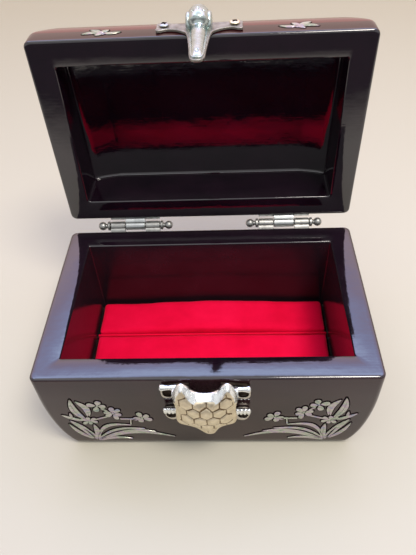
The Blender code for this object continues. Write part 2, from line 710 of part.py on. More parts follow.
def flower_outline(x, z, radius):
    points = []
    for i in range(2 * PETALS):
        angle = math.pi * i / PETALS + 0.3
        reach = radius if i % 2 == 0 else radius * 0.45
        points.append(Vector((x + reach * math.cos(angle), z + reach * math.sin(angle))))
    return points


def add_inlay(name, side, outlines, pearl, pivot=None):
    """Unite the plates of one spray; the first outline is the target and the rest are joined to it."""
    plates = []
    for points in outlines:
        flat = [(side * p.x, BASE_HEIGHT + p.y) for p in points]
        plates.append(front_plate(flat, INLAY_GAP, INLAY_GAP + INLAY_THICK))
    target = add_object(name, plates[0], pearl, pivot, smooth=False)
    rest = bmesh.new()
    for plate in plates[1:]:
        bmesh.ops.recalc_face_normals(plate, faces=plate.faces)
        mesh = bpy.data.meshes.new("plate")
        plate.to_mesh(mesh)
        plate.free()
        rest.from_mesh(mesh)
    carve(target, f"{name}_rest", rest, "UNION", pivot)
    target.modifiers[-1].use_self = True


def add_inlays(pearl, pivot):
    spray = [leaf_outline(SPRAY_ROOT, leaf[:2], *leaf[2:]) for leaf in SPRAY_LEAVES]
    spray += [stem_outline(*stem) for stem in SPRAY_STEMS]
    spray += [flower_outline(*flower) for flower in SPRAY_FLOWERS]
    cluster = [leaf_outline(CLUSTER_ROOT, leaf[:2], *leaf[2:]) for leaf in CLUSTER_LEAVES]
    cluster += [flower_outline(*flower) for flower in CLUSTER_FLOWERS]
    for name, side in (("left", -1), ("right", 1)):
        add_inlay(f"base_inlay_{name}", side, spray, pearl)
        add_inlay(f"lid_inlay_{name}", side, cluster, pearl, pivot)


def build():
    clear_scene()
    lacquer = material("lacquer", WOOD, 0.15)
    bright = material("bright_metal", BRIGHT, 0.3, 1.0)
    gold = material("gold_metal", GOLD, 0.4, 1.0)
    pewter = material("pewter", PEWTER, 0.4, 1.0)
    velvet = material("velvet", VELVET, 0.9)
    card = material("card", (0.35, 0.30, 0.25), 0.9)
    pearl = material("pearl", PEARL, 0.25)
    felt = material("felt", FELT, 0.95)
    lid = add_pivot("lid_pivot", (0.0, HINGE_Y, HINGE_Z), -OPEN_ANGLE)
    build_base(lacquer, felt)
    build_lid(lacquer, lid)
    build_cushion(velvet, card)
    for side, x in (("left", -HINGE_X), ("right", HINGE_X)):
        add_hinge(side, x, pewter, lid)
    add_hasp(bright, lid)
    add_latch(bright, gold)
    add_inlays(pearl, lid)


build()
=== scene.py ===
"""Looks of the lacquered jewelry box: lacquer shells, velvet cushion, cast metalwork and pearl inlay.

Sizes are in metres, in the frame of the CAD model. Pieces of the lid are modelled shut and then
turned about the hinge by lid_open(), because the box is shown with its lid open.
"""
import json
import math

import bmesh
import bpy
from mathutils import Matrix, Vector, noise


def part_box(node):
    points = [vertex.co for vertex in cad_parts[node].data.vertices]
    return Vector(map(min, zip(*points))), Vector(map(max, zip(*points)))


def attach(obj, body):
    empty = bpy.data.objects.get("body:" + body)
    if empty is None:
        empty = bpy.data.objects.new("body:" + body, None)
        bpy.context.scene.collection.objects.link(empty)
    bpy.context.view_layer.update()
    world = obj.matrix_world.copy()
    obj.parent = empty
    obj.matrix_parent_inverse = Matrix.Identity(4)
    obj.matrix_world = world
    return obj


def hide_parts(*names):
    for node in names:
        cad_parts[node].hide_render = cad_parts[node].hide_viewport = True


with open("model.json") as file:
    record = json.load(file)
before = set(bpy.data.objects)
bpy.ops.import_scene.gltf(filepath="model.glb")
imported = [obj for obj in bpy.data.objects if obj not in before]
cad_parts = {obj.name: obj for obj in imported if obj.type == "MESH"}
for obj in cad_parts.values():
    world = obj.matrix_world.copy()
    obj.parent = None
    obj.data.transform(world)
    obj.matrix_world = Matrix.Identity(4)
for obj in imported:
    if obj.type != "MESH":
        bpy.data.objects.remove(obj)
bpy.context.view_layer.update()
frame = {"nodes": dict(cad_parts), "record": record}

# Places read from the frame.
FRONT_LOW, FRONT_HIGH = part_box("base_front_panel")
END_LOW, END_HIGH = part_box("base_left_end")
FLOOR_LOW, FLOOR_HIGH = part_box("base_floor")
HINGES = {joint["name"]: joint for joint in frame["record"]["behaviour"]["joints"]}
HALF_W = -END_LOW[0]
INNER_W = -END_HIGH[0]
HALF_D = -FRONT_LOW[1]
INNER_D = -FRONT_HIGH[1]
RIM = FRONT_HIGH[2]
BOTTOM = FLOOR_LOW[2]
HINGE = Vector(HINGES["lid_hinge"]["pos_m"])
PIVOT = Vector(HINGES["turtle_lift"]["pos_m"])
FRONT = -HALF_D

# How far the lid stands open at rest.
OPEN = math.radians(90)

# Shape of the shells, as in the CAD.
CORNER = 0.0025
BASE_STRAIGHT = 0.012
BASE_END_INSET = 0.0103
LID_GAP = 0.0004
LID_STRAIGHT = 0.008
LID_RISE = 0.032
LID_END_ROUND = 0.012
LID_CEILING = 0.0218
LID_CEILING_BEND = (0.30, 0.65)
LID_CEILING_SLOPE = 0.094

# Details of the visible shells only: the ceiling's curved ends, and the rims' crown and soft edges.
CEILING_END_START = 0.034
CEILING_END_CURVE = 8.0
RIM_CROWN = 0.00030
OUTER_EDGE = 0.0010
INNER_EDGE = 0.0006


# ---------------------------------------------------------------- making objects

def mm(rows, plain=0):
    """Rows of millimetres in metres; the last plain numbers of each row are left as they are."""
    return [tuple(n if len(row) - i <= plain else n / 1000 for i, n in enumerate(row)) for row in rows]


def finish_object(name, bm, materials, angle=40):
    """A smooth-shaded object from bm, sharp where faces meet at more than angle degrees."""
    bmesh.ops.recalc_face_normals(bm, faces=bm.faces)
    mesh = bpy.data.meshes.new(name)
    bm.to_mesh(mesh)
    bm.free()
    mesh.shade_smooth()
    mesh.set_sharp_from_angle(angle=math.radians(angle))
    made = bpy.data.objects.new(name, mesh)
    bpy.context.scene.collection.objects.link(made)
    for material in materials:
        made.data.materials.append(material)
    return made


def keep(piece, body, slot, *nodes):
    """Put a finished piece on its body, in place of its CAD nodes."""
    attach(piece, body)
    if nodes:
        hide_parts(*nodes)
    return piece


def lid_open(piece):
    """Turn a piece modelled with the lid shut to where it is with the lid open."""
    turn = Matrix.Translation(HINGE) @ Matrix.Rotation(-OPEN, 4, "X") @ Matrix.Translation(-HINGE)
    piece.data.transform(turn)
    return piece


def strip(bm, lower, upper, index=0):
    """Faces between two closed loops of vertices."""
    for i in range(len(lower)):
        j = (i + 1) % len(lower)
        bm.faces.new((lower[i], lower[j], upper[j], upper[i])).material_index = index


def loft(rings, cap_start=True, cap_end=True):
    bm = bmesh.new()
    loops = [[bm.verts.new(point) for point in ring] for ring in rings]
    for lower, upper in zip(loops, loops[1:]):
        strip(bm, lower, upper)
    if cap_start:
        bm.faces.new(loops[0])
    if cap_end:
        bm.faces.new(loops[-1])
    return bm


def merge(target, bm):
    """Add the mesh of bm to target."""
    bmesh.ops.recalc_face_normals(bm, faces=bm.faces)
    mesh = bpy.data.meshes.new("merged")
    bm.to_mesh(mesh)
    bm.free()
    target.from_mesh(mesh)
    bpy.data.meshes.remove(mesh)


def apply_step(piece, kind, **settings):
    """Add a modifier to a piece and apply it at once."""
    step = piece.modifiers.new(kind.lower(), kind)
    for key, value in settings.items():
        setattr(step, key, value)
    bpy.context.view_layer.objects.active = piece
    bpy.ops.object.modifier_apply(modifier=step.name)


def clamped(value):
    return min(1.0, max(0.0, value))


def front_points(points, out):
    """Points of (x, height from the rim) at a distance in front of the front face."""
    return [(x, FRONT - out, RIM + z) for x, z in points]


def bevel(piece, width, segments):
    """Round a piece's edges of more than 40 degrees."""
    step = piece.modifiers.new("bevel", "BEVEL")
    step.width = width
    step.segments = segments
    step.limit_method = "ANGLE"
    step.angle_limit = math.radians(40)
    step.harden_normals = False
    return piece


def cast(name, bm, materials, body, slot, node, angle=35, edge=None):
    """A finished piece on its body; edge is the width and segments of its rounded edges."""
    piece = finish_object(name, bm, materials, angle)
    if edge:
        bevel(piece, *edge)
    if body == "lid":
        lid_open(piece)
    return keep(piece, body, slot, node)


def turned(profile, centre, axis="X", steps=40):
    """Turn a (distance, radius) profile about an axis through centre."""
    rings = []
    for distance, radius in profile:
        ring = []
        for i in range(steps):
            angle = 2 * math.pi * i / steps
            a, b = radius * math.cos(angle), radius * math.sin(angle)
            point = {"X": (distance, a, b), "Y": (b, distance, a), "Z": (a, b, distance)}[axis]
            ring.append(Vector(centre) + Vector(point))
        rings.append(ring)
    return loft(rings)


# ---------------------------------------------------------------- materials

def colour_ramp(tree, source, stops):
    node = tree.nodes.new("ShaderNodeValToRGB")
    elements = node.color_ramp.elements
    while len(elements) < len(stops):
        elements.new(0.5)
    for element, (position, colour) in zip(elements, stops):
        element.position = position
        element.color = (*colour, 1.0)
    tree.links.new(source, node.inputs["Fac"])
    return node.outputs["Color"]


class Nodes:
    """Short-hand for building a Principled material in object coordinates."""

    def __init__(self, name):
        self.material = bpy.data.materials.new(name)
        self.material.use_nodes = True
        self.tree = self.material.node_tree
        self.shader = self.tree.nodes["Principled BSDF"]
        self.place = self.tree.nodes.new("ShaderNodeTexCoord").outputs["Object"]

    def set(self, **values):
        for key, value in values.items():
            self.shader.inputs[key.replace("_", " ")].default_value = value

    def link(self, output, name):
        """Feed one of the shader's inputs."""
        self.tree.links.new(output, self.shader.inputs[name])

    def tint(self, source, *stops):
        self.link(colour_ramp(self.tree, source, stops), "Base Color")

    def add(self, kind, source, into, **values):
        """A node with the input called into fed by source, and other inputs set by name."""
        node = self.tree.nodes.new(kind)
        for key, value in values.items():
            node.inputs[key.replace("_", " ")].default_value = value
        self.tree.links.new(source, node.inputs[into])
        return node

    def mapping(self, scale, turn):
        node = self.add("ShaderNodeMapping", self.place, "Vector", Scale=scale, Rotation=turn)
        return node.outputs["Vector"]

    def noise(self, scale, detail=3.0, roughness=0.5, distortion=0.0, vector=None):
        node = self.add("ShaderNodeTexNoise", vector or self.place, "Vector", Scale=scale, Detail=detail,
                        Roughness=roughness, Distortion=distortion)
        return node.outputs["Fac"]

    def specks(self, scale, size):
        """One in small round specks and nought between them."""
        node = self.add("ShaderNodeTexVoronoi", self.place, "Vector", Scale=scale)
        return self.span(node.outputs["Distance"], 1.0, 0.0, 0.0, size)

    def span(self, source, low, high, from_low=0.3, from_high=0.7):
        values = {"From_Min": from_low, "From_Max": from_high, "To_Min": low, "To_Max": high}
        return self.add("ShaderNodeMapRange", source, "Value", **values).outputs["Result"]

    def bump(self, height, distance, strength=1.0, before=None):
        node = self.add("ShaderNodeBump", height, "Height", Distance=distance, Strength=strength)
        if before is not None:
            self.tree.links.new(before, node.inputs["Normal"])
        self.link(node.outputs["Normal"], "Normal")
        return node.outputs["Normal"]


def lacquer(name, dark, light, index, rough=(0.02, 0.08), wave=0.00020, brushed=0.0):
    """Deep gloss lacquer: a mottled dark colour, slow waves and brush lines in the coat, and dust."""
    m = Nodes(name)
    m.tint(m.noise(60, 5, 0.6), (0.30, dark), (0.72, light))
    m.link(m.span(m.noise(140, 4), *rough), "Roughness")
    m.set(IOR=index)
    normal = m.bump(m.noise(55, 1.0, 0.4), wave)
    normal = m.bump(m.noise(210, 2.0, 0.5), 0.00002 + 2 * brushed, 1.0, normal)
    if brushed:
        lines = m.mapping((0.04, 1.0, 1.0), (0.0, 0.0, 0.03))
        normal = m.bump(m.noise(1100, 4.0, 0.6, 0.0, lines), brushed, 1.0, normal)
    m.bump(m.specks(420, 0.06), 0.00002, 0.6, normal)
    return m.material


def velvet():
    """Short-pile velvet: saturated red with brushed patches, a fine pile and sheen."""
    m = Nodes("red_velvet")
    m.tint(m.noise(45, 4, 0.6), (0.30, (0.69, 0.002, 0.030)), (0.55, (0.80, 0.003, 0.043)),
           (0.75, (0.86, 0.005, 0.054)))
    m.set(Roughness=0.95, Sheen_Weight=0.45, Sheen_Roughness=0.28, Sheen_Tint=(1.0, 0.16, 0.24, 1.0))
    m.set(Specular_IOR_Level=0.05)
    pile = m.bump(m.noise(5200, 3, 0.7), 0.00012, 0.9)
    m.bump(m.noise(300, 3, 0.6), 0.00010, 0.6, pile)
    return m.material


def metal(name, dark, light, roughness, pits, scale=900):
    """Cast plated metal: mottled tone, uneven polish, soft dents and a few fine pits."""
    m = Nodes(name)
    m.tint(m.noise(420, 5, 0.6), (0.30, dark), (0.62, light))
    m.set(Metallic=1.0)
    m.link(m.span(m.noise(700, 4), roughness - 0.06, roughness + 0.10), "Roughness")
    dents = m.bump(m.noise(scale / 3, 2, 0.5), pits * 3)
    fine = m.bump(m.noise(scale * 2, 3, 0.6), pits, 0.8, dents)
    m.bump(m.specks(scale, 0.16), 0.00002, 0.35, fine)
    return m.material


def pearl():
    """Cut shell: milky white that drifts through pink, green and blue, with fine growth lines."""
    m = Nodes("pearl_inlay")
    stretched = m.mapping((1.0, 1.0, 3.0), (0.3, 0.5, 0.8))
    m.tint(m.noise(170, 3, 0.55, 1.2, stretched), (0.30, (0.20, 0.27, 0.25)), (0.42, (0.34, 0.38, 0.29)),
           (0.50, (0.46, 0.45, 0.39)), (0.58, (0.42, 0.31, 0.38)), (0.68, (0.27, 0.32, 0.40)))
    m.set(Metallic=0.35, Roughness=0.22, Coat_Weight=0.5, Coat_Roughness=0.05)
    m.bump(m.noise(2400, 2, 0.5, 0.5, stretched), 0.00002)
    return m.material


def cloth(name, dark, light, sheen=0.2):
    """A dull fibrous surface; with no sheen it is dead matt."""
    m = Nodes(name)
    m.tint(m.noise(400, 5, 0.7), (0.3, dark), (0.7, light))
    m.set(Roughness=0.95, Sheen_Weight=sheen, Specular_IOR_Level=2.5 * sheen)
    m.bump(m.noise(3000, 4, 0.7), 0.0001)
    return m.material


def floor_material():
    """Pale table top, painted lighter towards the front, and falling into painted shade beyond its near edge.
    """
    m = Nodes("floor_cream")
    depth = m.add("ShaderNodeSeparateXYZ", m.place, "Vector").outputs["Y"]
    # The ramp paints the light: near-black shade in front, lightest round the box, darker and warmer towards
    # the back.
    m.tint(m.span(depth, 0.0, 1.0, -0.18, 0.50), (0.0, (0.035, 0.03, 0.035)), (0.12, (0.455, 0.435, 0.365)),
           (0.28, (0.50, 0.475, 0.39)), (1.0, (0.395, 0.345, 0.235)))
    m.set(Roughness=0.75)
    return m.material


# ---------------------------------------------------------------- lacquer shells

def rounded_ring(half_x, half_y, z, radius, corner_steps=8):
    points = []
    for sign_x, sign_y, start in ((1, 1, 0), (-1, 1, 90), (-1, -1, 180), (1, -1, 270)):
        cx, cy = sign_x * (half_x - radius), sign_y * (half_y - radius)
        for i in range(corner_steps + 1):
            angle = math.radians(start + 90 * i / corner_steps)
            points.append((cx + radius * math.cos(angle), cy + radius * math.sin(angle), z))
    return points


def base_half_width(z):
    """Half the base's width at a height: its ends stand straight at the top and curve in below."""
    bend = RIM - BASE_STRAIGHT
    if z >= bend:
        return HALF_W
    fall = (bend - z) / bend
    return HALF_W - BASE_END_INSET * (1 - math.sqrt(max(0.0, 1 - fall * fall)))


def quarter(steps):
    """Angles of a quarter turn, ends included."""
    return [math.pi / 2 * i / steps for i in range(steps + 1)]


def rim_fall(share):
    """How far the rim drops below its outer edge, at a share of the way to its inner edge."""
    return RIM_CROWN * max(0.0, (share - 0.30) / 0.70) ** 2


def soft_edge(radius, steps):
    """(inset, fall) round a quarter of an edge, from the wall to the rim."""
    return [(radius * (1 - math.cos(a)), radius * (1 - math.sin(a))) for a in quarter(steps)]


def rim_steps():
    """(share of the way in, distance from the inner wall) of seven steps across the rim, from outside."""
    flat = HALF_W - INNER_W - OUTER_EDGE - INNER_EDGE
    return [(k / 8, flat * (1 - k / 8) + INNER_EDGE) for k in range(1, 8)]


def make_base_shell(outside, inside, walls):
    """One continuous lacquered shell: inner floor, inner walls, rim, outer walls and underside."""
    foot_edge, inner_corner = 0.0016, 0.0005
    rings = [rounded_ring(INNER_W, INNER_D, FLOOR_HIGH[2], inner_corner)]
    for inset, fall in soft_edge(INNER_EDGE, 4):
        z = RIM - rim_fall(1.0) - fall
        rings.append(rounded_ring(INNER_W + inset, INNER_D + inset, z, inner_corner + inset))
    for share, across in reversed(rim_steps()):
        radius = inner_corner + INNER_EDGE + (CORNER - inner_corner - INNER_EDGE) * (1 - share)
        rings.append(rounded_ring(INNER_W + across, INNER_D + across, RIM - rim_fall(share), radius))
    inside_count = len(rings)
    for inset, fall in reversed(soft_edge(OUTER_EDGE, 5)):
        rings.append(rounded_ring(HALF_W - inset, HALF_D - inset, RIM - fall, CORNER))
    for z in [(RIM - BASE_STRAIGHT) * math.cos(a) for a in quarter(24)]:
        if z > BOTTOM + foot_edge:
            rings.append(rounded_ring(base_half_width(z), HALF_D, z, CORNER))
    for inset, fall in soft_edge(foot_edge, 5):
        z = BOTTOM + fall
        rings.append(rounded_ring(base_half_width(z) - inset * 0.5, HALF_D - inset, z, CORNER))
    bm = bmesh.new()
    loops = [[bm.verts.new(point) for point in ring] for ring in rings]
    for i, (lower, upper) in enumerate(zip(loops, loops[1:])):
        strip(bm, lower, upper, 2 if i < 1 else (1 if i < inside_count + 3 else 0))
    bm.faces.new(loops[0]).material_index = 2
    bm.faces.new(loops[-1])
    shell = finish_object("base_shell", bm, [outside, inside, walls], 50)
    nodes = ["base_front_panel", "base_back_panel", "base_left_end", "base_right_end", "base_floor"]
    return keep(shell, "base", "lacquered_wood", *nodes)


def plan_point(u, v, half_x, half_y, radius):
    """Plan position of a point of the unit square, with the square's corners made round."""
    x, y = u * half_x, v * half_y
    dx, dy = abs(x) - (half_x - radius), abs(y) - (half_y - radius)
    if dx <= 0 or dy <= 0:
        return x, y
    scale = max(dx, dy) / math.hypot(dx, dy)
    px, py = half_x - radius + dx * scale, half_y - radius + dy * scale
    return math.copysign(px, x), math.copysign(py, y)


def ceiling_height(v):
    """Ceiling of the shut lid: level near the hinge (v = 1), then bending down to the front wall."""
    start, end = LID_CEILING_BEND
    fall = 0.0
    if v < end:
        fall += INNER_D * (end - start) * ((end - max(v, start)) / (end - start)) ** 2 / 2
    if v < start:
        fall += INNER_D * (start - v)
    return RIM + LID_CEILING - LID_CEILING_SLOPE * fall


def end_drop(x):
    """How far the ceiling curves down towards the ends of the lid."""
    return CEILING_END_CURVE * max(0.0, abs(x) - CEILING_END_START) ** 2


def make_lid_shell(outside, inside, band):
    """The lid: dome, straight band, rim, inner walls and a sloping ceiling that curves down at its ends."""
    inner_corner, end_fillet, side_fillet, fillet_drop = 0.0012, 0.0030, 0.0012, 0.0012
    rim = RIM + LID_GAP
    end_steps, dome_steps = 12, 48
    right = quarter(end_steps)
    ends = [-a for a in reversed(right)] + right
    turns = [math.pi * (i / dome_steps - 0.5) for i in range(dome_steps + 1)]
    us = []
    for index, end in enumerate(ends):
        side = 1 if index > end_steps else -1
        us.append((side * (HALF_W - LID_END_ROUND) + LID_END_ROUND * math.sin(end)) / HALF_W)
    bm = bmesh.new()

    def outer_height(i, j):
        rise = max(0.0, math.cos(ends[i]) * math.cos(turns[j]))
        return RIM + LID_STRAIGHT + LID_RISE * rise

    def grid(make):
        return [[make(i, j) for j in range(dome_steps + 1)] for i in range(len(us))]

    def fill(rows, index):
        for lower, upper in zip(rows, rows[1:]):
            for j in range(dome_steps):
                face = bm.faces.new((lower[j], upper[j], upper[j + 1], lower[j + 1]))
                face.material_index = index

    last = len(us) - 1
    border = [(i, 0) for i in range(len(us))] + [(last, j) for j in range(1, dome_steps + 1)]
    border += [(i, dome_steps) for i in range(last - 1, -1, -1)]
    border += [(0, j) for j in range(dome_steps - 1, 0, -1)]

    def outer_vertex(i, j):
        x, y = plan_point(us[i], math.sin(turns[j]), HALF_W, HALF_D, CORNER)
        return bm.verts.new((x, y, outer_height(i, j)))

    def loop(half_x, half_y, radius, height):
        made = []
        for i, j in border:
            v = math.sin(turns[j])
            x, y = plan_point(us[i], v, half_x, half_y, radius)
            made.append(bm.verts.new((x, y, height(x, v))))
        return made

    dome = grid(outer_vertex)
    fill(dome, 0)
    previous = [dome[i][j] for i, j in border]
    levels = []
    for inset, rise in soft_edge(OUTER_EDGE, 5):
        levels.append((HALF_W - inset, HALF_D - inset, CORNER, rim + rise))
    for share, across in rim_steps():
        levels.append((INNER_W + across, INNER_D + across, CORNER, rim + rim_fall(share)))
    for inset, rise in reversed(soft_edge(INNER_EDGE, 4)):
        z = rim + rim_fall(1.0) + rise
        levels.append((INNER_W + inset, INNER_D + inset, inner_corner + inset, z))
    for number, (half_x, half_y, radius, z) in enumerate(levels):
        ring = loop(half_x, half_y, radius, lambda x, v: z)
        strip(bm, previous, ring, 1 if number else 2)
        previous = ring
    for a in quarter(6):
        share, drop = 1 - math.cos(a), fillet_drop * (1 - math.sin(a))
        ring = loop(INNER_W - end_fillet * share, INNER_D - side_fillet * share, inner_corner,
                    lambda x, v: ceiling_height(v) - drop - end_drop(x))
        strip(bm, previous, ring, 1)
        previous = ring
    corner_verts = dict(zip(border, previous))

    def inner_vertex(i, j):
        if (i, j) in corner_verts:
            return corner_verts[(i, j)]
        v = math.sin(turns[j])
        x, y = us[i] * (INNER_W - end_fillet), v * (INNER_D - side_fillet)
        return bm.verts.new((x, y, ceiling_height(v) - end_drop(x)))

    fill(grid(inner_vertex), 1)
    shell = lid_open(finish_object("lid_shell", bm, [outside, inside, band], 50))
    nodes = ["lid_front_panel", "lid_back_panel", "lid_left_end", "lid_right_end", "lid_top_panel"]
    return keep(shell, "lid", "lacquered_wood", *nodes)


# ---------------------------------------------------------------- velvet cushion

# The cloth is simulated at SIM_SCALE times its size, where Blender's cloth is steadier.
# VOXEL is at that scale; the other lengths are real ones.
SIM_SCALE = 20.0
SIM_FRAMES = 20
VOXEL = 0.022
SWELL = 0.0006
SIDE_SWELL = 0.00013
TOP_SWELL = 0.0003
WANDER = 0.00018
CREASE_TUCK = 0.00025
CREASE_DEPTH = 0.0018


def roll_blank(low, high, rear_arch):
    """A soft-edged pad that fills a little less than the roll's box, at the simulation's scale."""
    inset, radius, lower = 0.0002, 0.0010, 0.0003
    half_x, half_y = INNER_W - inset, (high[1] - low[1]) / 2 - inset
    mid_y = (low[1] + high[1]) / 2
    top = high[2] - rear_arch - lower
    stations, rings = 56, []
    for i in range(stations + 1):
        across = 2 * i / stations - 1
        lift = rear_arch * math.cos(math.pi / 2 * across) ** 2
        ring = []
        for cy, cz, start in ((half_y, top + lift, 0), (-half_y, top + lift, 90),
                              (-half_y, low[2], 180), (half_y, low[2], 270)):
            sy, sz = math.copysign(1, cy), (1 if start < 180 else -1)
            for k in range(4):
                angle = math.radians(start + 30 * k)
                y = mid_y + sy * (half_y - radius) + radius * math.cos(angle)
                z = cz - sz * radius + radius * math.sin(angle)
                ring.append(Vector((half_x * across, y, z)) * SIM_SCALE)
        rings.append(ring)
    return loft(rings)


def inflate(piece, cap):
    """Swell a pad with a short cloth simulation and keep its result, with no point moving beyond cap."""
    start = [v.co.copy() for v in piece.data.vertices]
    soft = piece.modifiers.new("cloth", "CLOTH")
    values = {"quality": 4, "mass": 0.3, "use_pressure": True, "uniform_pressure_force": 4.0,
              "tension_stiffness": 15, "bending_stiffness": 2.0}
    for key, value in values.items():
        setattr(soft.settings, key, value)
    soft.settings.effector_weights.gravity = 0.0
    soft.point_cache.frame_start, soft.point_cache.frame_end = 1, SIM_FRAMES
    scene = bpy.context.scene
    for step in range(1, SIM_FRAMES + 1):
        scene.frame_set(step)
    swollen = piece.evaluated_get(bpy.context.evaluated_depsgraph_get()).data
    ends = [v.co.copy() for v in swollen.vertices]
    piece.modifiers.clear()
    scene.frame_set(1)
    for vertex, before, after in zip(piece.data.vertices, start, ends):
        move = after - before
        if move.length > cap:
            move = move.normalized() * cap
        vertex.co = before + move


def make_cushion(fabric):
    """Three velvet rolls, each swollen from a blank in its CAD roll's box, with a crease between them."""
    for where, arch in (("front", 0.0004), ("middle", 0.0008), ("rear", 0.0022)):
        node = f"cushion_roll_{where}"
        low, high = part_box(node)
        roll = finish_object(f"velvet_roll_{where}", roll_blank(low, high, arch), [fabric])
        apply_step(roll, "REMESH", mode="VOXEL", voxel_size=VOXEL)
        inflate(roll, SWELL * SIM_SCALE)
        apply_step(roll, "SMOOTH", iterations=4)
        for vertex in roll.data.vertices:
            co = vertex.co / SIM_SCALE
            co.z += WANDER * noise.noise(co * 140)
            co.x = min(max(co.x, -INNER_W), INNER_W)
            co.y = min(max(co.y, low[1] - SIDE_SWELL), high[1] + SIDE_SWELL)
            co.z = min(max(co.z, low[2]), high[2] + TOP_SWELL)
            vertex.co = co
        roll.data.shade_smooth()
        roll.data.materials.clear()
        roll.data.materials.append(fabric)
        fine = roll.modifiers.new("fine", "SUBSURF")
        fine.levels = fine.render_levels = 1
        keep(roll, "base", "red_velvet", node)
    for before, after in (("front", "middle"), ("middle", "rear")):
        make_crease(fabric, before, after)


def make_crease(fabric, before, after):
    """The velvet that runs down between two rolls, with a shallow dip along its top."""
    low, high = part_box(f"cushion_roll_{before}")
    start, end = high[1] - CREASE_TUCK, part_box(f"cushion_roll_{after}")[0][1] + CREASE_TUCK
    top = high[2] - CREASE_DEPTH
    dip = ((start + end) / 2, top - CREASE_TUCK)
    section = [(start, low[2]), (end, low[2]), (end, top), dip, (start, top)]
    rings = [[(INNER_W * side * 0.99, y, z) for y, z in section] for side in (-1, -0.33, 0.33, 1)]
    keep(finish_object(f"velvet_crease_{before}", loft(rings), [fabric]), "base", "red_velvet")


# ---------------------------------------------------------------- small builders

def front_prism(outline, near, far):
    """Prism of (x, height from the rim) points between two distances in front of the front face."""
    return loft([front_points(outline, out) for out in (near, far)])


def mirrored(half):
    return half + [(-x, z) for x, z in reversed(half) if abs(x) > 1e-6]


def smooth_loop(points, rounds=3):
    """Round the corners of a closed outline by cutting them, a few times over."""
    for _ in range(rounds):
        cut = []
        for i, (ax, ay) in enumerate(points):
            bx, by = points[(i + 1) % len(points)]
            cut.append((ax * 0.75 + bx * 0.25, ay * 0.75 + by * 0.25))
            cut.append((ax * 0.25 + bx * 0.75, ay * 0.25 + by * 0.75))
        points = cut
    return points


def resampled(points, count):
    """The same closed outline with evenly spaced points."""
    closed = points + [points[0]]
    lengths = [0.0]
    for (ax, ay), (bx, by) in zip(closed, closed[1:]):
        lengths.append(lengths[-1] + math.hypot(bx - ax, by - ay))
    result, segment = [], 0
    for i in range(count):
        target = lengths[-1] * i / count
        while lengths[segment + 1] < target:
            segment += 1
        share = (target - lengths[segment]) / (lengths[segment + 1] - lengths[segment])
        (ax, ay), (bx, by) = closed[segment], closed[segment + 1]
        result.append((ax + (bx - ax) * share, ay + (by - ay) * share))
    return result


def cut(piece, bm):
    """Take the shape of bm out of a piece, and leave no modifier behind."""
    cutter = finish_object("cutter", bm, [])
    apply_step(piece, "BOOLEAN", operation="DIFFERENCE", solver="EXACT", object=cutter)
    bpy.data.objects.remove(cutter)


def block(low, high):
    bm = bmesh.new()
    low, high = Vector(low), Vector(high)
    place = Matrix.Translation((low + high) / 2) @ Matrix.Diagonal((*(high - low), 1.0))
    bmesh.ops.create_cube(bm, size=1.0, matrix=place)
    return bm


def spline(rows, steps):
    """Rows of numbers, with steps smooth rows between each pair."""
    result = []
    for i in range(len(rows) - 1):
        before, start = rows[max(i - 1, 0)], rows[i]
        end, after = rows[i + 1], rows[min(i + 2, len(rows) - 1)]
        for k in range(steps):
            t = k / steps
            row = []
            for a, b, c, d in zip(before, start, end, after):
                value = b + 0.5 * t * (c - a + t * (2 * a - 5 * b + 4 * c - d + t * (3 * (b - c) + d - a)))
                row.append(value)
            result.append(row)
    return result + [rows[-1]]


# ---------------------------------------------------------------- screws

SCREW_RADIUS = 0.0019
SCREW_DOME = 0.00075
SCREW_SKIRT = 0.0002
SCREW_SHANK = [(-0.0030, 0.0004), (-0.0028, 0.0008), (-0.0009, 0.0008), (-0.0009, SCREW_RADIUS - 0.0001)]
SLOT_DEPTH = 0.0003


def outward_of(middle, body):
    """The way that the head of a screw faces: up or down on the open lid, front or back on the base."""
    if body == "lid":
        return Vector((0, 0, 1 if middle.z > 0.1 else -1))
    return Vector((0, -1 if middle.y < 0 else 1, 0))


def make_screw(node, body, materials, slot, turn, cross=False):
    """A slotted, domed screw head in place of a CAD screw; its head is at the end away from the wood."""
    low, high = (Vector(corner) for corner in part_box(node))
    middle = (low + high) / 2
    outward = outward_of(middle, body)
    axis = "Z" if body == "lid" else "Y"
    top = middle + outward * abs((high - middle).dot(outward))
    base = SCREW_SKIRT - 0.0009
    profile = SCREW_SHANK + [(base, SCREW_RADIUS)]
    for a in quarter(7)[1:]:
        distance = base + (SCREW_DOME - SCREW_SKIRT) * math.sin(a)
        profile.append((distance, max(SCREW_RADIUS * math.cos(a), 0.00005)))
    sign = outward.dot(Vector((1, 1, 1)))
    head = turned([(sign * d, r) for d, r in profile], top, axis)
    piece = finish_object(f"{node}_head", head, materials, 35)
    half = Vector([SLOT_DEPTH + 0.0008 * abs(c) for c in outward])
    half.x = 0.0012 if cross else 0.003
    centre = top + outward * SLOT_DEPTH
    for step in range(2 if cross else 1):
        groove = block(-half, half)
        groove.transform(Matrix.Translation(centre) @ Matrix.Rotation(turn + step * math.pi / 2, 4, axis))
        cut(piece, groove)
    # Faces sunk in the slot take material 1, the near-black metal: painted shade in the slot.
    for face in piece.data.polygons:
        offset = face.center - top
        depth = offset.dot(outward)
        facing = face.normal.dot(outward)
        sunk = abs(depth) > 0.00012 and (offset - outward * depth).length < 0.0013
        if sunk and (facing > 0.99 or abs(facing) < 0.05):
            face.material_index = 1
    bevel(piece, 0.00006, 2)
    keep(piece, body, slot, node)


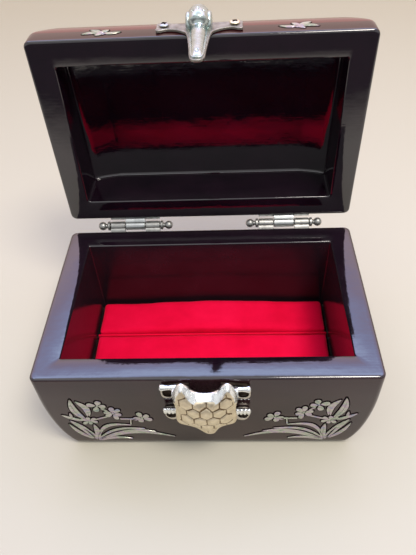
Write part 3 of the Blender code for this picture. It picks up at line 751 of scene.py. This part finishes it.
def make_screws(nickel, gold, pewter, shade_metal):
    # The latch screws take the near-black metal all over: painted shade, where they sit in the feet's holes.
    fittings = (("hasp_screw_1", 0.5, "lid", nickel), ("hasp_screw_2", 0.9, "lid", gold),
                ("latch_screw_1", 0.2, "base", shade_metal), ("latch_screw_2", 1.9, "base", shade_metal))
    for name, turn, body, face in fittings:
        make_screw(name, body, [face, shade_metal], "bright_metal", turn, True)
    for side_index, side in enumerate(("left", "right")):
        for where_index, where in enumerate(("base", "lid")):
            for number in (1, 2):
                name = f"hinge_{side}_{where}_screw_{number}"
                turn = 0.7 * number + 1.1 * side_index + 0.4 * where_index
                make_screw(name, where, [pewter, shade_metal], "pewter_metal", turn)


# ---------------------------------------------------------------- hinges

BARREL = 0.0020
CENTRE_KNUCKLE = 0.0090
OUTER_KNUCKLE = 0.0066
JOINT_GAP = 0.0003
LEAF_THICK = 0.0010
LEAF_DROP = 0.0100


def knuckle_profile(start, stop):
    edge = 0.00025
    return [(start, BARREL - edge), (start + edge, BARREL), (stop - edge, BARREL), (stop, BARREL - edge)]


def make_leaf(side, x, where, up, material):
    """A stamped leaf whose tongues roll round the pin into knuckles."""
    reach = CENTRE_KNUCKLE / 2 + JOINT_GAP + OUTER_KNUCKLE
    start = CENTRE_KNUCKLE / 2 + JOINT_GAP
    spans = [(-start - OUTER_KNUCKLE, -start), (start, start + OUTER_KNUCKLE)]
    if up > 0:
        spans = [(-CENTRE_KNUCKLE / 2, CENTRE_KNUCKLE / 2)]
    bm = bmesh.new()
    face = HALF_D + JOINT_GAP
    corner, far = 0.0014, LEAF_DROP
    plan = [(-reach, 0.0015), (reach, 0.0015), (reach, far - corner), (reach - corner, far),
            (-reach + corner, far), (-reach, far - corner)]
    rings = [[(x + px, y, HINGE.z + up * pz) for px, pz in plan] for y in (face, face + LEAF_THICK)]
    merge(bm, loft(rings))
    for low, high in spans:
        merge(bm, turned(knuckle_profile(low, high), (x, HINGE.y, HINGE.z)))
        section = []
        for k in range(7):
            a = math.radians(90 + 90 * k / 6)
            section.append((HINGE.y + BARREL * math.cos(a) * 0.98, up * BARREL * math.sin(a)))
        section += [(face + LEAF_THICK * 0.5, up * 0.0008), (face, up * 0.0018), (face + 0.0006, up * 0.0026)]
        section += [(face + LEAF_THICK, up * 0.0024)]
        merge(bm, loft([[(x + px, y, HINGE.z + z) for y, z in section] for px in (low, high)]))
    cast(f"hinge_leaf_{where}_{side}", bm, [material], where, "pewter_metal",
         f"hinge_{side}_{where}_leaf", edge=(0.00012, 2))


def finial_profile(start):
    """Collar, neck and ball, outwards from the last knuckle."""
    ball, centre = 0.00195, start + 0.0037
    points = [(start, 0.0018), (start + 0.0002, 0.0021), (start + 0.0010, 0.0021), (start + 0.0013, 0.0012)]
    points.append((start + 0.0017, 0.0010))
    for k in range(15):
        a = math.radians(146 - 10.3 * k)
        points.append((centre + ball * math.cos(a), max(ball * math.sin(a), 0.00005)))
    return points


def make_hinges(pewter, nickel):
    for side in ("left", "right"):
        low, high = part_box(f"hinge_{side}_base_leaf")
        x = (low[0] + high[0]) / 2
        make_leaf(side, x, "base", -1, pewter)
        make_leaf(side, x, "lid", 1, nickel)
        end = CENTRE_KNUCKLE / 2 + JOINT_GAP + OUTER_KNUCKLE + JOINT_GAP
        tip = finial_profile(end)
        rod = [(-d, r) for d, r in reversed(tip)] + [(-end, 0.0009), (end, 0.0009)]
        for what, profile in (("pin", rod), ("finial", tip)):
            piece = turned(profile, (x, HINGE.y, HINGE.z))
            cast(f"hinge_{what}_{side}", piece, [pewter], "base", "pewter_metal", f"hinge_{side}_{what}")


# ---------------------------------------------------------------- hasp

HASP_HALF = mm([(0.0, 8.8), (7.0, 9.0), (10.0, 9.2), (13.5, 10.4), (15.9, 9.4), (15.3, 6.2), (15.8, 3.6),
                (14.6, 2.8), (12.0, 4.3), (9.0, 4.0), (6.4, 2.4), (4.4, 0.8), (3.4, -8.0), (2.8, -17.0),
                (2.5, -20.5), (1.6, -22.0), (0.0, -22.5)])
HEAD_SECTIONS = mm([(12.0, 0.6, 0.6), (11.7, 2.2, 3.4), (10.8, 3.4, 5.2), (8.8, 4.1, 6.6), (6.4, 4.3, 6.9),
                    (4.4, 4.2, 6.6), (3.3, 4.1, 6.0), (2.7, 3.9, 5.2), (2.4, 3.4, 3.8), (1.6, 2.7, 3.1),
                    (-2.0, 2.6, 2.9), (-6.0, 2.5, 2.5), (-12.0, 2.2, 2.0), (-16.0, 2.0, 1.6),
                    (-18.6, 1.8, 1.3), (-20.4, 1.4, 0.8), (-20.8, 0.5, 0.2)])
FLANGE_HALF = mm([(0.0, 3.4), (3.1, 3.4), (3.2, 0.0), (3.0, -8.0), (2.6, -15.0), (2.4, -19.0), (1.8, -20.8),
                  (0.8, -21.4), (0.0, -21.4)])
PLATE = (0.0002, 0.0012)
CHEEK = mm([(3.0, 3.8), (3.8, 4.1), (4.4, 3.7), (4.7, 2.9), (4.8, 1.5)])
HEAD_DENTS = mm([(-1.9, 6.6, 3.6), (0.0, 7.3, 4.4), (1.9, 6.7, 3.5)])
HOOD_DROP = 0.0021


def hood_drop(z):
    """How far the middle of the head hangs below its sides: all of it at the lip, none above or far below."""
    if z > 0.0020:
        return HOOD_DROP * clamped((0.0092 - z) / 0.0066) ** 1.4
    return HOOD_DROP * clamped((z + 0.0070) / 0.0088)


def half_round(sections, back, steps=32, power=0.66):
    """Half-rounds of (height, half width, height off the plate), which sag in the middle by hood_drop."""
    rings = []
    for z, half, proud in sections:
        ring = []
        for i in range(steps + 1):
            t = math.pi * i / steps
            rise = math.sin(t) ** power
            height = RIM + z - hood_drop(z) * rise ** 2
            ring.append((half * math.cos(t), FRONT - back - proud * rise, height))
        rings.append(ring)
    return loft(rings)


def dent(piece, at, radius, stretch):
    """Cut a small round hollow, at its widest where at is, into a piece."""
    hollow = bmesh.new()
    place = Matrix.Translation(at) @ Matrix.Diagonal((*stretch, 1.0))
    bmesh.ops.create_icosphere(hollow, subdivisions=3, radius=radius, matrix=place)
    cut(piece, hollow)


def make_hasp(material, worn):
    """The lid's fitting: a winged plate, and a head with a long neck that drops into the latch."""
    near, far = PLATE
    plate = front_prism(smooth_loop(mirrored(HASP_HALF), 2), near, far)
    cast("hasp_plate_cast", plate, [worn], "lid", "bright_metal", "hasp_plate", edge=(0.00025, 3))
    back = far - 0.0001
    face = FRONT - back
    bm = half_round(spline(HEAD_SECTIONS, 5), back)
    for side in (-1, 1):
        cheek = [(side * x, r) for x, r in CHEEK]
        merge(bm, turned(spline(cheek, 3), (0, face - 0.0010, RIM + 0.0058), "X", 48))
    head = finish_object("hasp_head_cast", bm, [material], 60)
    for x, out, z in HEAD_DENTS:
        dent(head, (x, face - out, RIM + z), 0.0008, (0.7, 1.2, 0.7))
    dent(head, (0.0, face - 0.0020, RIM - 0.0180), 0.0011, (0.8, 1.0, 1.0))
    keep(lid_open(head), "lid", "bright_metal", "hasp_head")
    flange = front_prism(smooth_loop(mirrored(FLANGE_HALF), 2), back - 0.0002, back + 0.0007)
    cast("hasp_head_sides", flange, [material], "lid", "bright_metal", "hasp_head", edge=(0.00018, 2))


# ---------------------------------------------------------------- turtle latch

SHELL_HALF = mm([(0.0, -1.1), (2.6, -0.8), (4.6, 0.8), (6.0, 3.4), (7.6, 5.0), (9.2, 4.2), (10.6, 1.6),
                 (11.4, -1.2), (11.6, -4.4), (10.9, -7.2), (10.8, -11.0), (11.2, -15.6), (10.9, -18.4),
                 (9.8, -19.7), (7.6, -20.6), (4.8, -22.2), (3.0, -24.6), (1.8, -26.8), (0.0, -27.6)])
SHELL_BACK = 0.0046
SHELL_EDGE = 0.0016
COLLAR_START = -0.0052
COLLAR_END = -0.0115
COLLAR_TOP = 0.0008
COLLAR_SLOPE = 2.10
SHOULDER = 0.0011
SHELL_CROWN = 0.0036
TAIL_LEAN = 0.0010
SHELL_CENTRE = (0.0, -0.0100)
SCUTE_CENTRE = (0.0004, -0.0080)
SCUTE = 0.0047
SCUTE_STRETCH = 1.30
GROOVE = 0.00036


def scute_distance(x, z):
    """Distance from a point to the nearest groove between the shell's hexagonal plates."""
    x, z = x - SCUTE_CENTRE[0], (z - SCUTE_CENTRE[1]) / SCUTE_STRETCH
    row_step = SCUTE * math.sqrt(3) / 2
    nearest = []
    row = round(z / row_step)
    for r in range(row - 1, row + 2):
        shift = SCUTE / 2 if r % 2 else 0.0
        column = round((x - shift) / SCUTE)
        for c in range(column - 1, column + 2):
            cx, cz = shift + c * SCUTE, r * row_step
            nearest.append((math.hypot(x - cx, z - cz), cx, cz))
    nearest.sort()
    (d1, x1, z1), (d2, x2, z2) = nearest[:2]
    return (d2 * d2 - d1 * d1) / (2 * math.hypot(x2 - x1, z2 - z1))


def collar_height(x, z, edge):
    """Height above the shell's back of the collar, which slopes up from edge; out of reach it is 1."""
    if z < COLLAR_END:
        return 1.0
    away = min(math.hypot(x - ex, z - ez) for ex, ez in edge)
    return COLLAR_TOP + COLLAR_SLOPE * away


def shell_face(x, z, scale, edge_z, edge):
    """How far the shell's face stands off the box, whether that is the collar, and the scutes' share."""
    shoulder = SHOULDER * clamped((edge_z + 0.0050) / 0.0030)
    share = 1 - scale ** 2.2
    dome = SHELL_EDGE + shoulder * (1 - share) + SHELL_CROWN * share
    collar = collar_height(x, z, edge)
    away = scute_distance(x, z)
    inside = clamped((0.88 - scale) / 0.03) * clamped((collar - dome - 0.0001) / 0.0004)
    pillow, groove = 1 - math.exp(-(away / 0.0009) ** 2), math.exp(-(away / GROOVE) ** 2)
    dome += inside * (0.00016 * pillow - 0.00034 * groove)
    gutter = math.exp(-((scale - 0.90) / 0.018) ** 2) * inside
    dome -= 0.00022 * gutter
    blend = 0.00025
    soft = -blend * math.log(math.exp(-dome / blend) + math.exp(-min(collar, 0.02) / blend))
    return SHELL_BACK + soft, collar < dome, inside


def groove_wear(place):
    """How worn the dark in a groove is near a place: 1.5 where it is whole, and more where it's thin."""
    return 1.5 + 1.6 * max(0.0, noise.noise(place * 420) + 0.15)


def make_turtle_shell(gold, bright, tarnish):
    """The latch's domed shell, ring by ring towards its middle, with a hub for the pivot on each side."""
    outline = resampled(smooth_loop(mirrored(SHELL_HALF), 2), 400)
    cx, cz = SHELL_CENTRE
    outline = [(x + TAIL_LEAN * clamped((-0.021 - z) / 0.006), z) for x, z in outline]
    edge = [(x, z) for x, z in outline[::2] if z > COLLAR_START]
    bm = bmesh.new()
    # The shell's back edge and side wall start with material 1, the whiter bright metal: a painted highlight
    # of the light from above on the champagne cast.
    rings, looks = [], [[1] * len(outline)] * 2

    def shrunk(scale):
        return [(cx + (x - cx) * scale, cz + (z - cz) * scale) for x, z in outline]

    for out, scale in ((SHELL_BACK, 0.96), (SHELL_BACK + 0.0004, 1.0)):
        rings.append([bm.verts.new(point) for point in front_points(shrunk(scale), out)])
    steps = 84
    for k in range(steps):
        scale = 1.0 - k / steps
        ring, look = [], []
        for (px, pz), (_, z) in zip(shrunk(scale), outline):
            out, on_collar, inside = shell_face(px, pz, scale, z, edge)
            drop = 0.00035 * math.exp(-(k / 1.2) ** 2)
            place = Vector((px, FRONT - out + drop, RIM + pz))
            ring.append(bm.verts.new(place))
            dark = inside > 0.5 and groove_wear(place) * scute_distance(px, pz) < GROOVE
            # Collar faces take the whiter metal as the same painted highlight; worn dark in the grooves takes
            # the tarnish, the rest the champagne.
            look.append(1 if on_collar else (2 if dark else 0))
        rings.append(ring)
        looks.append(look)
    for lower, upper, look in zip(rings, rings[1:], looks):
        strip(bm, lower, upper)
        for index, face in enumerate(list(bm.faces)[-len(lower):]):
            face.material_index = look[index]
    bm.faces.new(rings[0]).material_index = 1
    tip = bm.verts.new((cx, FRONT - shell_face(cx, cz, 0.0, cz, edge)[0], RIM + cz))
    last = rings[-1]
    for i in range(len(last)):
        bm.faces.new((last[i], last[(i + 1) % len(last)], tip))
    hubs = bmesh.new()
    for side in (-1, 1):
        merge(hubs, turned([(side * x, r) for x, r in HUB], PIVOT))
    for face in hubs.faces:
        face.material_index = 1
    merge(bm, hubs)
    cast("turtle_shell_cast", bm, [gold, bright, tarnish], "turtle", "champagne_metal", "turtle_shell", 50)


FOOT = mm([(10.4, -16.8), (15.2, -16.8), (15.9, -17.8), (16.0, -20.2), (15.0, -22.6), (13.4, -23.6),
           (11.8, -23.2), (10.4, -22.0)])
FOOT_HOLE = mm([(11.8, -18.6), (14.6, -18.6), (15.4, -19.6), (14.6, -22.0), (12.6, -22.0), (11.4, -20.6)])
EAR = mm([(11.2, -2.2), (15.3, -2.2), (16.1, -3.2), (16.2, -8.0), (15.1, -9.2), (12.4, -9.2), (11.2, -8.2)])
EAR_HOLE = mm([(11.6, -3.0), (14.8, -3.0), (15.5, -4.4), (15.4, -8.0), (12.7, -8.6), (11.6, -7.2)])
HUB = mm([(8.6, 1.2), (8.8, 1.8), (11.2, 2.0), (11.6, 1.7)])
KNOB = mm([(9.8, 0.6), (10.1, 1.2), (11.8, 1.0), (13.0, 0.9), (14.3, 1.05), (15.3, 1.3), (15.9, 1.1),
           (16.2, 0.6)])
# How far in front of the box the ears and feet start and end, and where their rods and claws are.
EAR_SPAN = (0.0008, 0.0018)
FOOT_SPAN = (0.0002, 0.0022)
RIGHT_SAG = 0.0009
ROD_BACK = 0.0012
ROD_RISE = 0.0016
CLAW_START = 0.0113
CLAW_STEP = 0.0014
CLAW_HEIGHT = RIM - 0.0172
CLAW = mm([(-1.7, 0.3), (-1.4, 0.7), (0.0, 0.9), (1.4, 0.7), (1.7, 0.3)])
BACKPLATE_HALF = mm([(5.6, -1.4), (9.0, -1.4), (15.0, -2.4), (15.7, -3.6), (15.4, -8.4), (13.0, -8.8),
                     (10.8, -10.0), (10.8, -22.6), (9.2, -22.6), (6.0, -23.8), (0.0, -25.0)])


def pierced(outline, hole, near, far, count=48):
    """A plate with one hole, in front of the box; the hole's wall and the back take material 1."""
    outline = resampled(smooth_loop(outline, 2), count)
    hole = resampled(smooth_loop(hole, 2), count)
    x, z = outline[0]
    start = min(range(count), key=lambda i: math.hypot(hole[i][0] - x, hole[i][1] - z))
    hole = hole[start:] + hole[:start]
    order = ((outline, near), (outline, far), (hole, far), (hole, near))
    rings = [front_points(ring, out) for ring, out in order]
    bm = loft(rings + rings[:1], False, False)
    for index, face in enumerate(bm.faces):
        face.material_index = 1 if index >= 2 * count else 0
    bmesh.ops.remove_doubles(bm, verts=bm.verts, dist=1e-7)
    return bm


def make_backplate(bright, worn, shade_metal):
    """The latch's backplate: a plate behind the shell, two looped ears and two clawed feet."""
    half = BACKPLATE_HALF
    outline = half + [(-x, z) for x, z in reversed(half) if x > 0] + [(-0.0056, -0.0225), (0.0056, -0.0225)]

    def fitting(name, bm, materials, angle=35, edge=None, node="latch_backplate"):
        cast(name, bm, materials, "base", "bright_metal", node, angle, edge)

    def looped(name, outer, inner, side, sag, near, far, edge):
        outer, inner = ([(side * x, z - sag) for x, z in points] for points in (outer, inner))
        # Material 1, on the hole's wall and the back, is the near-black metal: painted shade in the hole.
        fitting(name, pierced(outer, inner, near, far), [worn, shade_metal], edge=(edge, 3))

    # The plate behind the shell is the near-black metal all over: painted shade, where the shell and ears
    # shadow it.
    fitting("latch_backplate_cast", front_prism(outline, *PLATE), [shade_metal], edge=(0.0002, 2))
    for side, word, sag in ((-1, "left", 0.0), (1, "right", RIGHT_SAG)):
        looped(f"latch_ear_{word}", EAR, EAR_HOLE, side, sag, *EAR_SPAN, 0.00028)
        place = (0, PIVOT.y + ROD_BACK, PIVOT.z + ROD_RISE - 1.6 * sag)
        rod = turned([(side * x, r) for x, r in spline(KNOB, 3)], place, "X", 28)
        fitting(f"latch_ear_rod_{word}", rod, [bright], node=f"latch_pivot_pin_{word}")
        looped(f"latch_foot_{word}", FOOT, FOOT_HOLE, side, sag, *FOOT_SPAN, 0.00025)
        claws = bmesh.new()
        for k in range(4):
            place = (side * (CLAW_START + CLAW_STEP * k), FRONT - FOOT_SPAN[1] + 0.0001, CLAW_HEIGHT - sag)
            merge(claws, turned(spline(CLAW, 3), place, "Z", 16))
        fitting(f"latch_claws_{word}", claws, [bright], 60)


# ---------------------------------------------------------------- pearl inlay

# One spray and one cluster, seen on the right: x and height from the rim.
# A leaf has its root, tip, width and bow; a flower has its middle, radius and number of petals.
SPRAY_LEAVES = mm([(46.2, -24.5, 49.3, -13.8, 2.6, 0.14), (48.2, -26.2, 51.2, -12.4, 2.8, -0.1),
                   (49.0, -27.4, 56.6, -23.4, 1.5, -0.06), (53.0, -25.6, 53.2, -21.9, 1.1, 0.0),
                   (47.0, -41.2, 54.2, -27.6, 2.5, 0.05), (47.6, -41.6, 55.2, -30.0, 1.7, -0.08),
                   (45.8, -42.6, 45.4, -30.4, 2.4, 0.05), (45.4, -42.0, 25.5, -33.8, 2.1, -0.15),
                   (45.6, -42.8, 14.0, -40.1, 1.7, -0.16), (45.4, -42.4, 21.3, -36.0, 1.9, -0.16),
                   (45.0, -43.0, 31.5, -41.5, 1.4, -0.1), (45.0, -40.0, 30.7, -30.9, 1.5, -0.27),
                   (46.2, -42.4, 50.0, -33.0, 1.4, 0.06)], 1)
SPRAY_STEMS = mm([(27.9, -26.4, 34.2, -26.4), (30.2, -26.8, 30.6, -30.6), (39.0, -24.6, 44.2, -26.8),
                  (38.4, -20.6, 40.4, -18.6)])
SPRAY_FLOWERS = mm([(46.6, -27.8, 3.6, 6), (36.4, -22.4, 4.5, 6), (25.6, -25.8, 4.2, 5),
                    (41.6, -17.0, 4.5, 4)], 1)
CLUSTER_LEAVES = mm([(35.5, 5.6, 42.5, 4.8, 2.0, 0.1), (35.5, 5.6, 40.0, 8.5, 2.0, 0.1),
                     (35.5, 5.6, 33.0, 8.0, 2.0, -0.1), (35.5, 5.6, 28.5, 5.8, 1.8, 0.1),
                     (35.5, 5.6, 37.5, 3.4, 1.8, -0.1)], 1)
CLUSTER_FLOWERS = mm([(35.5, 5.6, 2.0, 5)], 1)
INLAY_LOW = 0.00004
INLAY_HIGH = 0.00030
# How far the painted shadow round each shell plate reaches past it, and how far up it is shifted.
SHADOW_MARGIN = 0.00045
SHADOW_LIFT = 0.00022
BEAD = 0.0005


def leaf_halves(root, tip, width, bow, grow=0.0, split=0.00007):
    """The two halves of a leaf, either side of its midrib; grow widens it into the painted shadow round it.
    """
    root, tip = Vector(root), Vector(tip)
    along = tip - root
    across = Vector((-along.y, along.x))
    unit, steps = across.normalized(), 14
    spine, halves = [], []
    for i in range(steps + 1):
        t = i / steps
        point = root + along * t + across * bow * math.sin(math.pi * t)
        half = width / 2 * (math.sin(math.pi * min(1.0, 0.08 + 0.92 * t)) ** 0.75)
        spine.append(point)
        halves.append(max(half, 0.00012))
    if grow:
        left = [p + unit * (h + grow) for p, h in zip(spine, halves)]
        right = [p - unit * (h + grow) for p, h in zip(spine, halves)]
        return [left + [tip + along.normalized() * grow] + list(reversed(right))]
    result = []
    for sign in (-1, 1):
        outer = [p + unit * sign * h for p, h in zip(spine, halves)]
        inner = [p + unit * sign * split * (1 - i / steps) for i, p in enumerate(spine)]
        result.append(outer + list(reversed(inner[1:-1])))
    return result


def petal_outlines(x, z, radius, count, turn, grow=0.0):
    """Uneven petals round a middle; grow widens them into the painted shadow round them."""
    outlines = []
    for k in range(count):
        angle = turn + 2 * math.pi * (k + 0.10 * math.sin(3.1 * k + turn)) / count
        axis = Vector((math.cos(angle), math.sin(angle)))
        side = Vector((-axis.y, axis.x))
        width = radius * min(0.34, 1.75 / count)
        length = radius * (0.86 + 0.14 * math.sin(2.3 * k + 5 * turn))
        points = []
        for i in range(14):
            t = 2 * math.pi * i / 14
            reach = length * (0.58 + 0.42 * math.cos(t)) + grow * math.cos(t)
            swell = 0.75 + 0.25 * math.cos(t)
            points.append(Vector((x, z)) + axis * reach + side * (width * swell + grow) * math.sin(t))
        outlines.append(points)
    return outlines


def make_inlay(name, body, side, leaves, stems, flowers, materials, node):
    """Shell plates of one spray, each on a slightly wider near-black copy, lifted a little, that is a painted
    shadow round its edge.
    """
    plates, painted_shadows = [], []
    for leaf in leaves:
        plates += leaf_halves(leaf[:2], leaf[2:4], *leaf[4:])
        painted_shadows += leaf_halves(leaf[:2], leaf[2:4], *leaf[4:], grow=SHADOW_MARGIN)
    for stem in stems:
        start, end = Vector(stem[:2]), Vector(stem[2:])
        half = Vector((start.y - end.y, end.x - start.x)).normalized() * 0.0003
        plates.append([start - half, end - half, end + half, start + half])
        half *= 2
        painted_shadows.append([start - half, end - half, end + half, start + half])
    for index, (x, z, radius, count) in enumerate(flowers):
        plates += petal_outlines(x, z, radius, count, 0.4 + index)
        painted_shadows += petal_outlines(x, z, radius, count, 0.4 + index, SHADOW_MARGIN)
        turns = [math.pi * k / 5 for k in range(10)]
        plates.append([Vector((x + BEAD * math.cos(a), z + BEAD * math.sin(a))) for a in turns])
    bm = bmesh.new()
    for index, outline in enumerate(plates):
        rise = INLAY_HIGH + 0.00002 * (index % 3)
        flat = [(side * p.x, p.y) for p in outline]
        middle_x, middle_z = sum(x for x, _ in flat) / len(flat), sum(z for _, z in flat) / len(flat)
        inner = []
        for x, z in flat:
            dx, dz = middle_x - x, middle_z - z
            length = max(math.hypot(dx, dz), 1e-6)
            shift = min(0.00012, length * 0.3)
            inner.append((x + dx / length * shift, z + dz / length * shift))
        levels = ((flat, INLAY_LOW), (flat, rise - 0.00008), (inner, rise))
        merge(bm, loft([front_points(points, out) for points, out in levels]))
    # Near-black copies of the plates, lifted and set behind them: a painted shadow.
    back = bmesh.new()
    for outline in painted_shadows:
        lifted = [(side * p.x, p.y + SHADOW_LIFT) for p in outline]
        merge(back, front_prism(lifted, INLAY_LOW / 2, INLAY_LOW * 2))
    for face in back.faces:
        face.material_index = 1
    merge(bm, back)
    cast(name, bm, materials, body, "pearl_inlay", node, 30)


def make_inlays(shell, dark):
    # dark is the dead matt near-black cloth of the painted shadow round the plates.
    for name, side in (("left", -1), ("right", 1)):
        make_inlay(f"spray_{name}", "base", side, SPRAY_LEAVES, SPRAY_STEMS, SPRAY_FLOWERS,
                   [shell, dark], f"base_inlay_{name}")
        make_inlay(f"cluster_{name}", "lid", side, CLUSTER_LEAVES, [], CLUSTER_FLOWERS,
                   [shell, dark], f"lid_inlay_{name}")


# ---------------------------------------------------------------- stage

def make_stage():
    bpy.ops.mesh.primitive_plane_add(size=6, location=(0, 0, -0.0002))
    ground = bpy.context.object
    ground.name = "floor"
    ground.data.materials.append(floor_material())


def area_light(name, place, aim, size, power, colour):
    data = bpy.data.lights.new(name, "AREA")
    data.shape = "RECTANGLE"
    data.size, data.size_y = size
    data.energy = power
    data.color = colour
    light = bpy.data.objects.new(name, data)
    light.location = place
    light.rotation_euler = (Vector(aim) - Vector(place)).to_track_quat("-Z", "Y").to_euler()
    bpy.context.scene.collection.objects.link(light)


# Colour of the room by height, from level to straight up, behind the box and in front of it; one turns
# into the other over WORLD_TURN, towards the back.
WORLD_BACK = [(0.00, (1.00, 0.80, 0.70)), (0.45, (1.05, 0.84, 0.76)), (0.60, (1.90, 1.45, 1.55)),
              (0.66, (2.20, 1.75, 2.10)), (0.72, (1.90, 1.65, 2.40)), (0.78, (2.00, 2.20, 3.60)),
              (0.82, (3.00, 3.60, 5.40)), (0.86, (2.60, 3.10, 4.80)), (0.91, (1.10, 1.05, 1.05)),
              (1.00, (1.00, 1.00, 1.00))]
WORLD_FRONT = [(0.00, (0.42, 0.40, 0.39)), (0.15, (0.78, 0.79, 0.80)), (0.58, (0.78, 0.79, 0.80)),
               (0.68, (0.30, 0.30, 0.34)), (0.74, (0.36, 0.36, 0.40)), (0.81, (1.55, 1.58, 1.60)),
               (0.95, (1.40, 1.43, 1.45)), (1.00, (1.10, 1.10, 1.10))]
WORLD_TURN = (-0.15, 0.30)


def make_world():
    """Room light: a bluish window band high behind the box, and a paler, even front."""
    world = bpy.data.worlds.new("studio")
    world.use_nodes = True
    tree = world.node_tree
    direction = tree.nodes.new("ShaderNodeTexCoord")
    parts = tree.nodes.new("ShaderNodeSeparateXYZ")
    tree.links.new(direction.outputs["Generated"], parts.inputs["Vector"])
    side = tree.nodes.new("ShaderNodeMapRange")
    side.interpolation_type = "SMOOTHSTEP"
    side.inputs["From Min"].default_value, side.inputs["From Max"].default_value = WORLD_TURN
    tree.links.new(parts.outputs["Y"], side.inputs["Value"])
    mix = tree.nodes.new("ShaderNodeMix")
    mix.data_type = "RGBA"
    tree.links.new(side.outputs["Result"], mix.inputs["Factor"])
    colours = {socket.name: socket for socket in mix.inputs if socket.type == "RGBA"}
    tree.links.new(colour_ramp(tree, parts.outputs["Z"], WORLD_FRONT), colours["A"])
    tree.links.new(colour_ramp(tree, parts.outputs["Z"], WORLD_BACK), colours["B"])
    mixed = next(socket for socket in mix.outputs if socket.type == "RGBA")
    tree.links.new(mixed, tree.nodes["Background"].inputs["Color"])
    bpy.context.scene.world = world


def make_lights():
    make_world()
    area_light("overhead", (0.30, -0.30, 0.95), (0, 0, 0.05), (0.30, 0.30), 7.0, (1.0, 0.92, 0.84))


def make_camera():
    """Camera at the photographed angle: close, above the front, and rolled by a few degrees."""
    data = bpy.data.cameras.new("camera")
    data.sensor_width = 36.0
    data.lens = 34.98
    data.clip_start = 0.01
    camera = bpy.data.objects.new("camera", data)
    yaw, pitch, roll = math.radians(-3.70), math.radians(45.21), math.radians(-3.60)
    look = Vector((math.sin(yaw) * math.cos(pitch), math.cos(yaw) * math.cos(pitch), -math.sin(pitch)))
    level = look.cross(Vector((0, 0, 1))).normalized()
    upright = level.cross(look)
    right = level * math.cos(roll) + upright * math.sin(roll)
    up = upright * math.cos(roll) - level * math.sin(roll)
    turn = Matrix((right, up, -look)).transposed().to_4x4()
    camera.matrix_world = Matrix.Translation((0.01035, -0.1486, 0.2060)) @ turn
    bpy.context.scene.collection.objects.link(camera)
    bpy.context.scene.camera = camera


# Name, dark and light colour, roughness, depth of the pits, and their scale where it isn't 900.
METALS = [("bright_metal", (0.86, 0.89, 0.885), (0.97, 0.98, 0.98), 0.22, 0.000006),
          ("champagne_metal", (0.66, 0.565, 0.405), (0.84, 0.745, 0.56), 0.42, 0.000012),
          ("pewter_metal", (0.27, 0.27, 0.26), (0.40, 0.40, 0.385), 0.40, 0.000012),
          ("nickel_metal", (0.38, 0.40, 0.40), (0.52, 0.54, 0.54), 0.34, 0.000008),
          ("worn_metal", (0.46, 0.42, 0.36), (0.66, 0.62, 0.54), 0.44, 0.000012, 1500),
          ("plate_metal", (0.22, 0.205, 0.18), (0.42, 0.40, 0.35), 0.48, 0.00003, 1500),
          ("polished_metal", (0.42, 0.49, 0.475), (0.54, 0.62, 0.60), 0.24, 0.000005),
          ("tarnish", (0.10, 0.062, 0.032), (0.26, 0.18, 0.10), 0.5, 0.00002),
          # The last is a near-black metal that is painted shade, on the latch's backplate, hole walls, screw
          # slots and latch screws.
          ("painted_shade_metal", (0.015, 0.010, 0.008), (0.05, 0.035, 0.025), 0.6, 0.00002)]


def main():
    """Make the stage, every visible piece, and the looks of the CAD nodes that stay."""
    bpy.context.scene.view_settings.view_transform = "Standard"
    make_stage()
    make_lights()
    make_camera()
    cherry = lacquer("lacquer_cherry", (0.088, 0.0105, 0.0128), (0.116, 0.0142, 0.0162), 1.55)
    brown = lacquer("lacquer_brown", (0.018, 0.008, 0.010), (0.030, 0.012, 0.014), 1.55)
    black_cherry = lacquer("lacquer_black_cherry", (0.004, 0.0018, 0.0042), (0.010, 0.0038, 0.0085), 1.80,
                           brushed=0.000012)
    wall = lacquer("lacquer_wall", (0.010, 0.006, 0.009), (0.020, 0.009, 0.014), 1.42, (0.10, 0.20), 0.00012)
    make_base_shell(brown, black_cherry, wall)
    band = lacquer("lacquer_lid_band", (0.024, 0.0036, 0.0050), (0.036, 0.0050, 0.0066), 1.70)
    make_lid_shell(cherry, black_cherry, band)
    make_cushion(velvet())
    bright, gold, pewter, nickel, worn, plate, polished, tarnish, shade_metal = (metal(*look) for look in METALS)
    card = cloth("card", (0.35, 0.30, 0.24), (0.45, 0.40, 0.32))
    felt = cloth("felt", (0.03, 0.006, 0.010), (0.06, 0.012, 0.018))
    shell = pearl()
    # The dead matt near-black cloth is a painted shadow round the inlay's shell plates.
    make_inlays(shell, cloth("inlay_painted_shadow", (0.004, 0.002, 0.003), (0.009, 0.004, 0.006), 0.0))
    make_hinges(pewter, nickel)
    make_hasp(polished, plate)
    make_turtle_shell(gold, bright, tarnish)
    make_backplate(bright, worn, shade_metal)
    make_screws(nickel, gold, pewter, shade_metal)
    by_slot = {"bright_metal": bright, "champagne_metal": gold, "pewter_metal": pewter,
               "card": card, "felt": felt, "pearl_inlay": shell, "lacquered_wood": cherry}
    for part in frame["record"]["subparts"]:
        if part["material_slot"] in by_slot:
            materials = frame["nodes"][part["node"]].data.materials
            materials.clear()
            materials.append(by_slot[part["material_slot"]])


main()
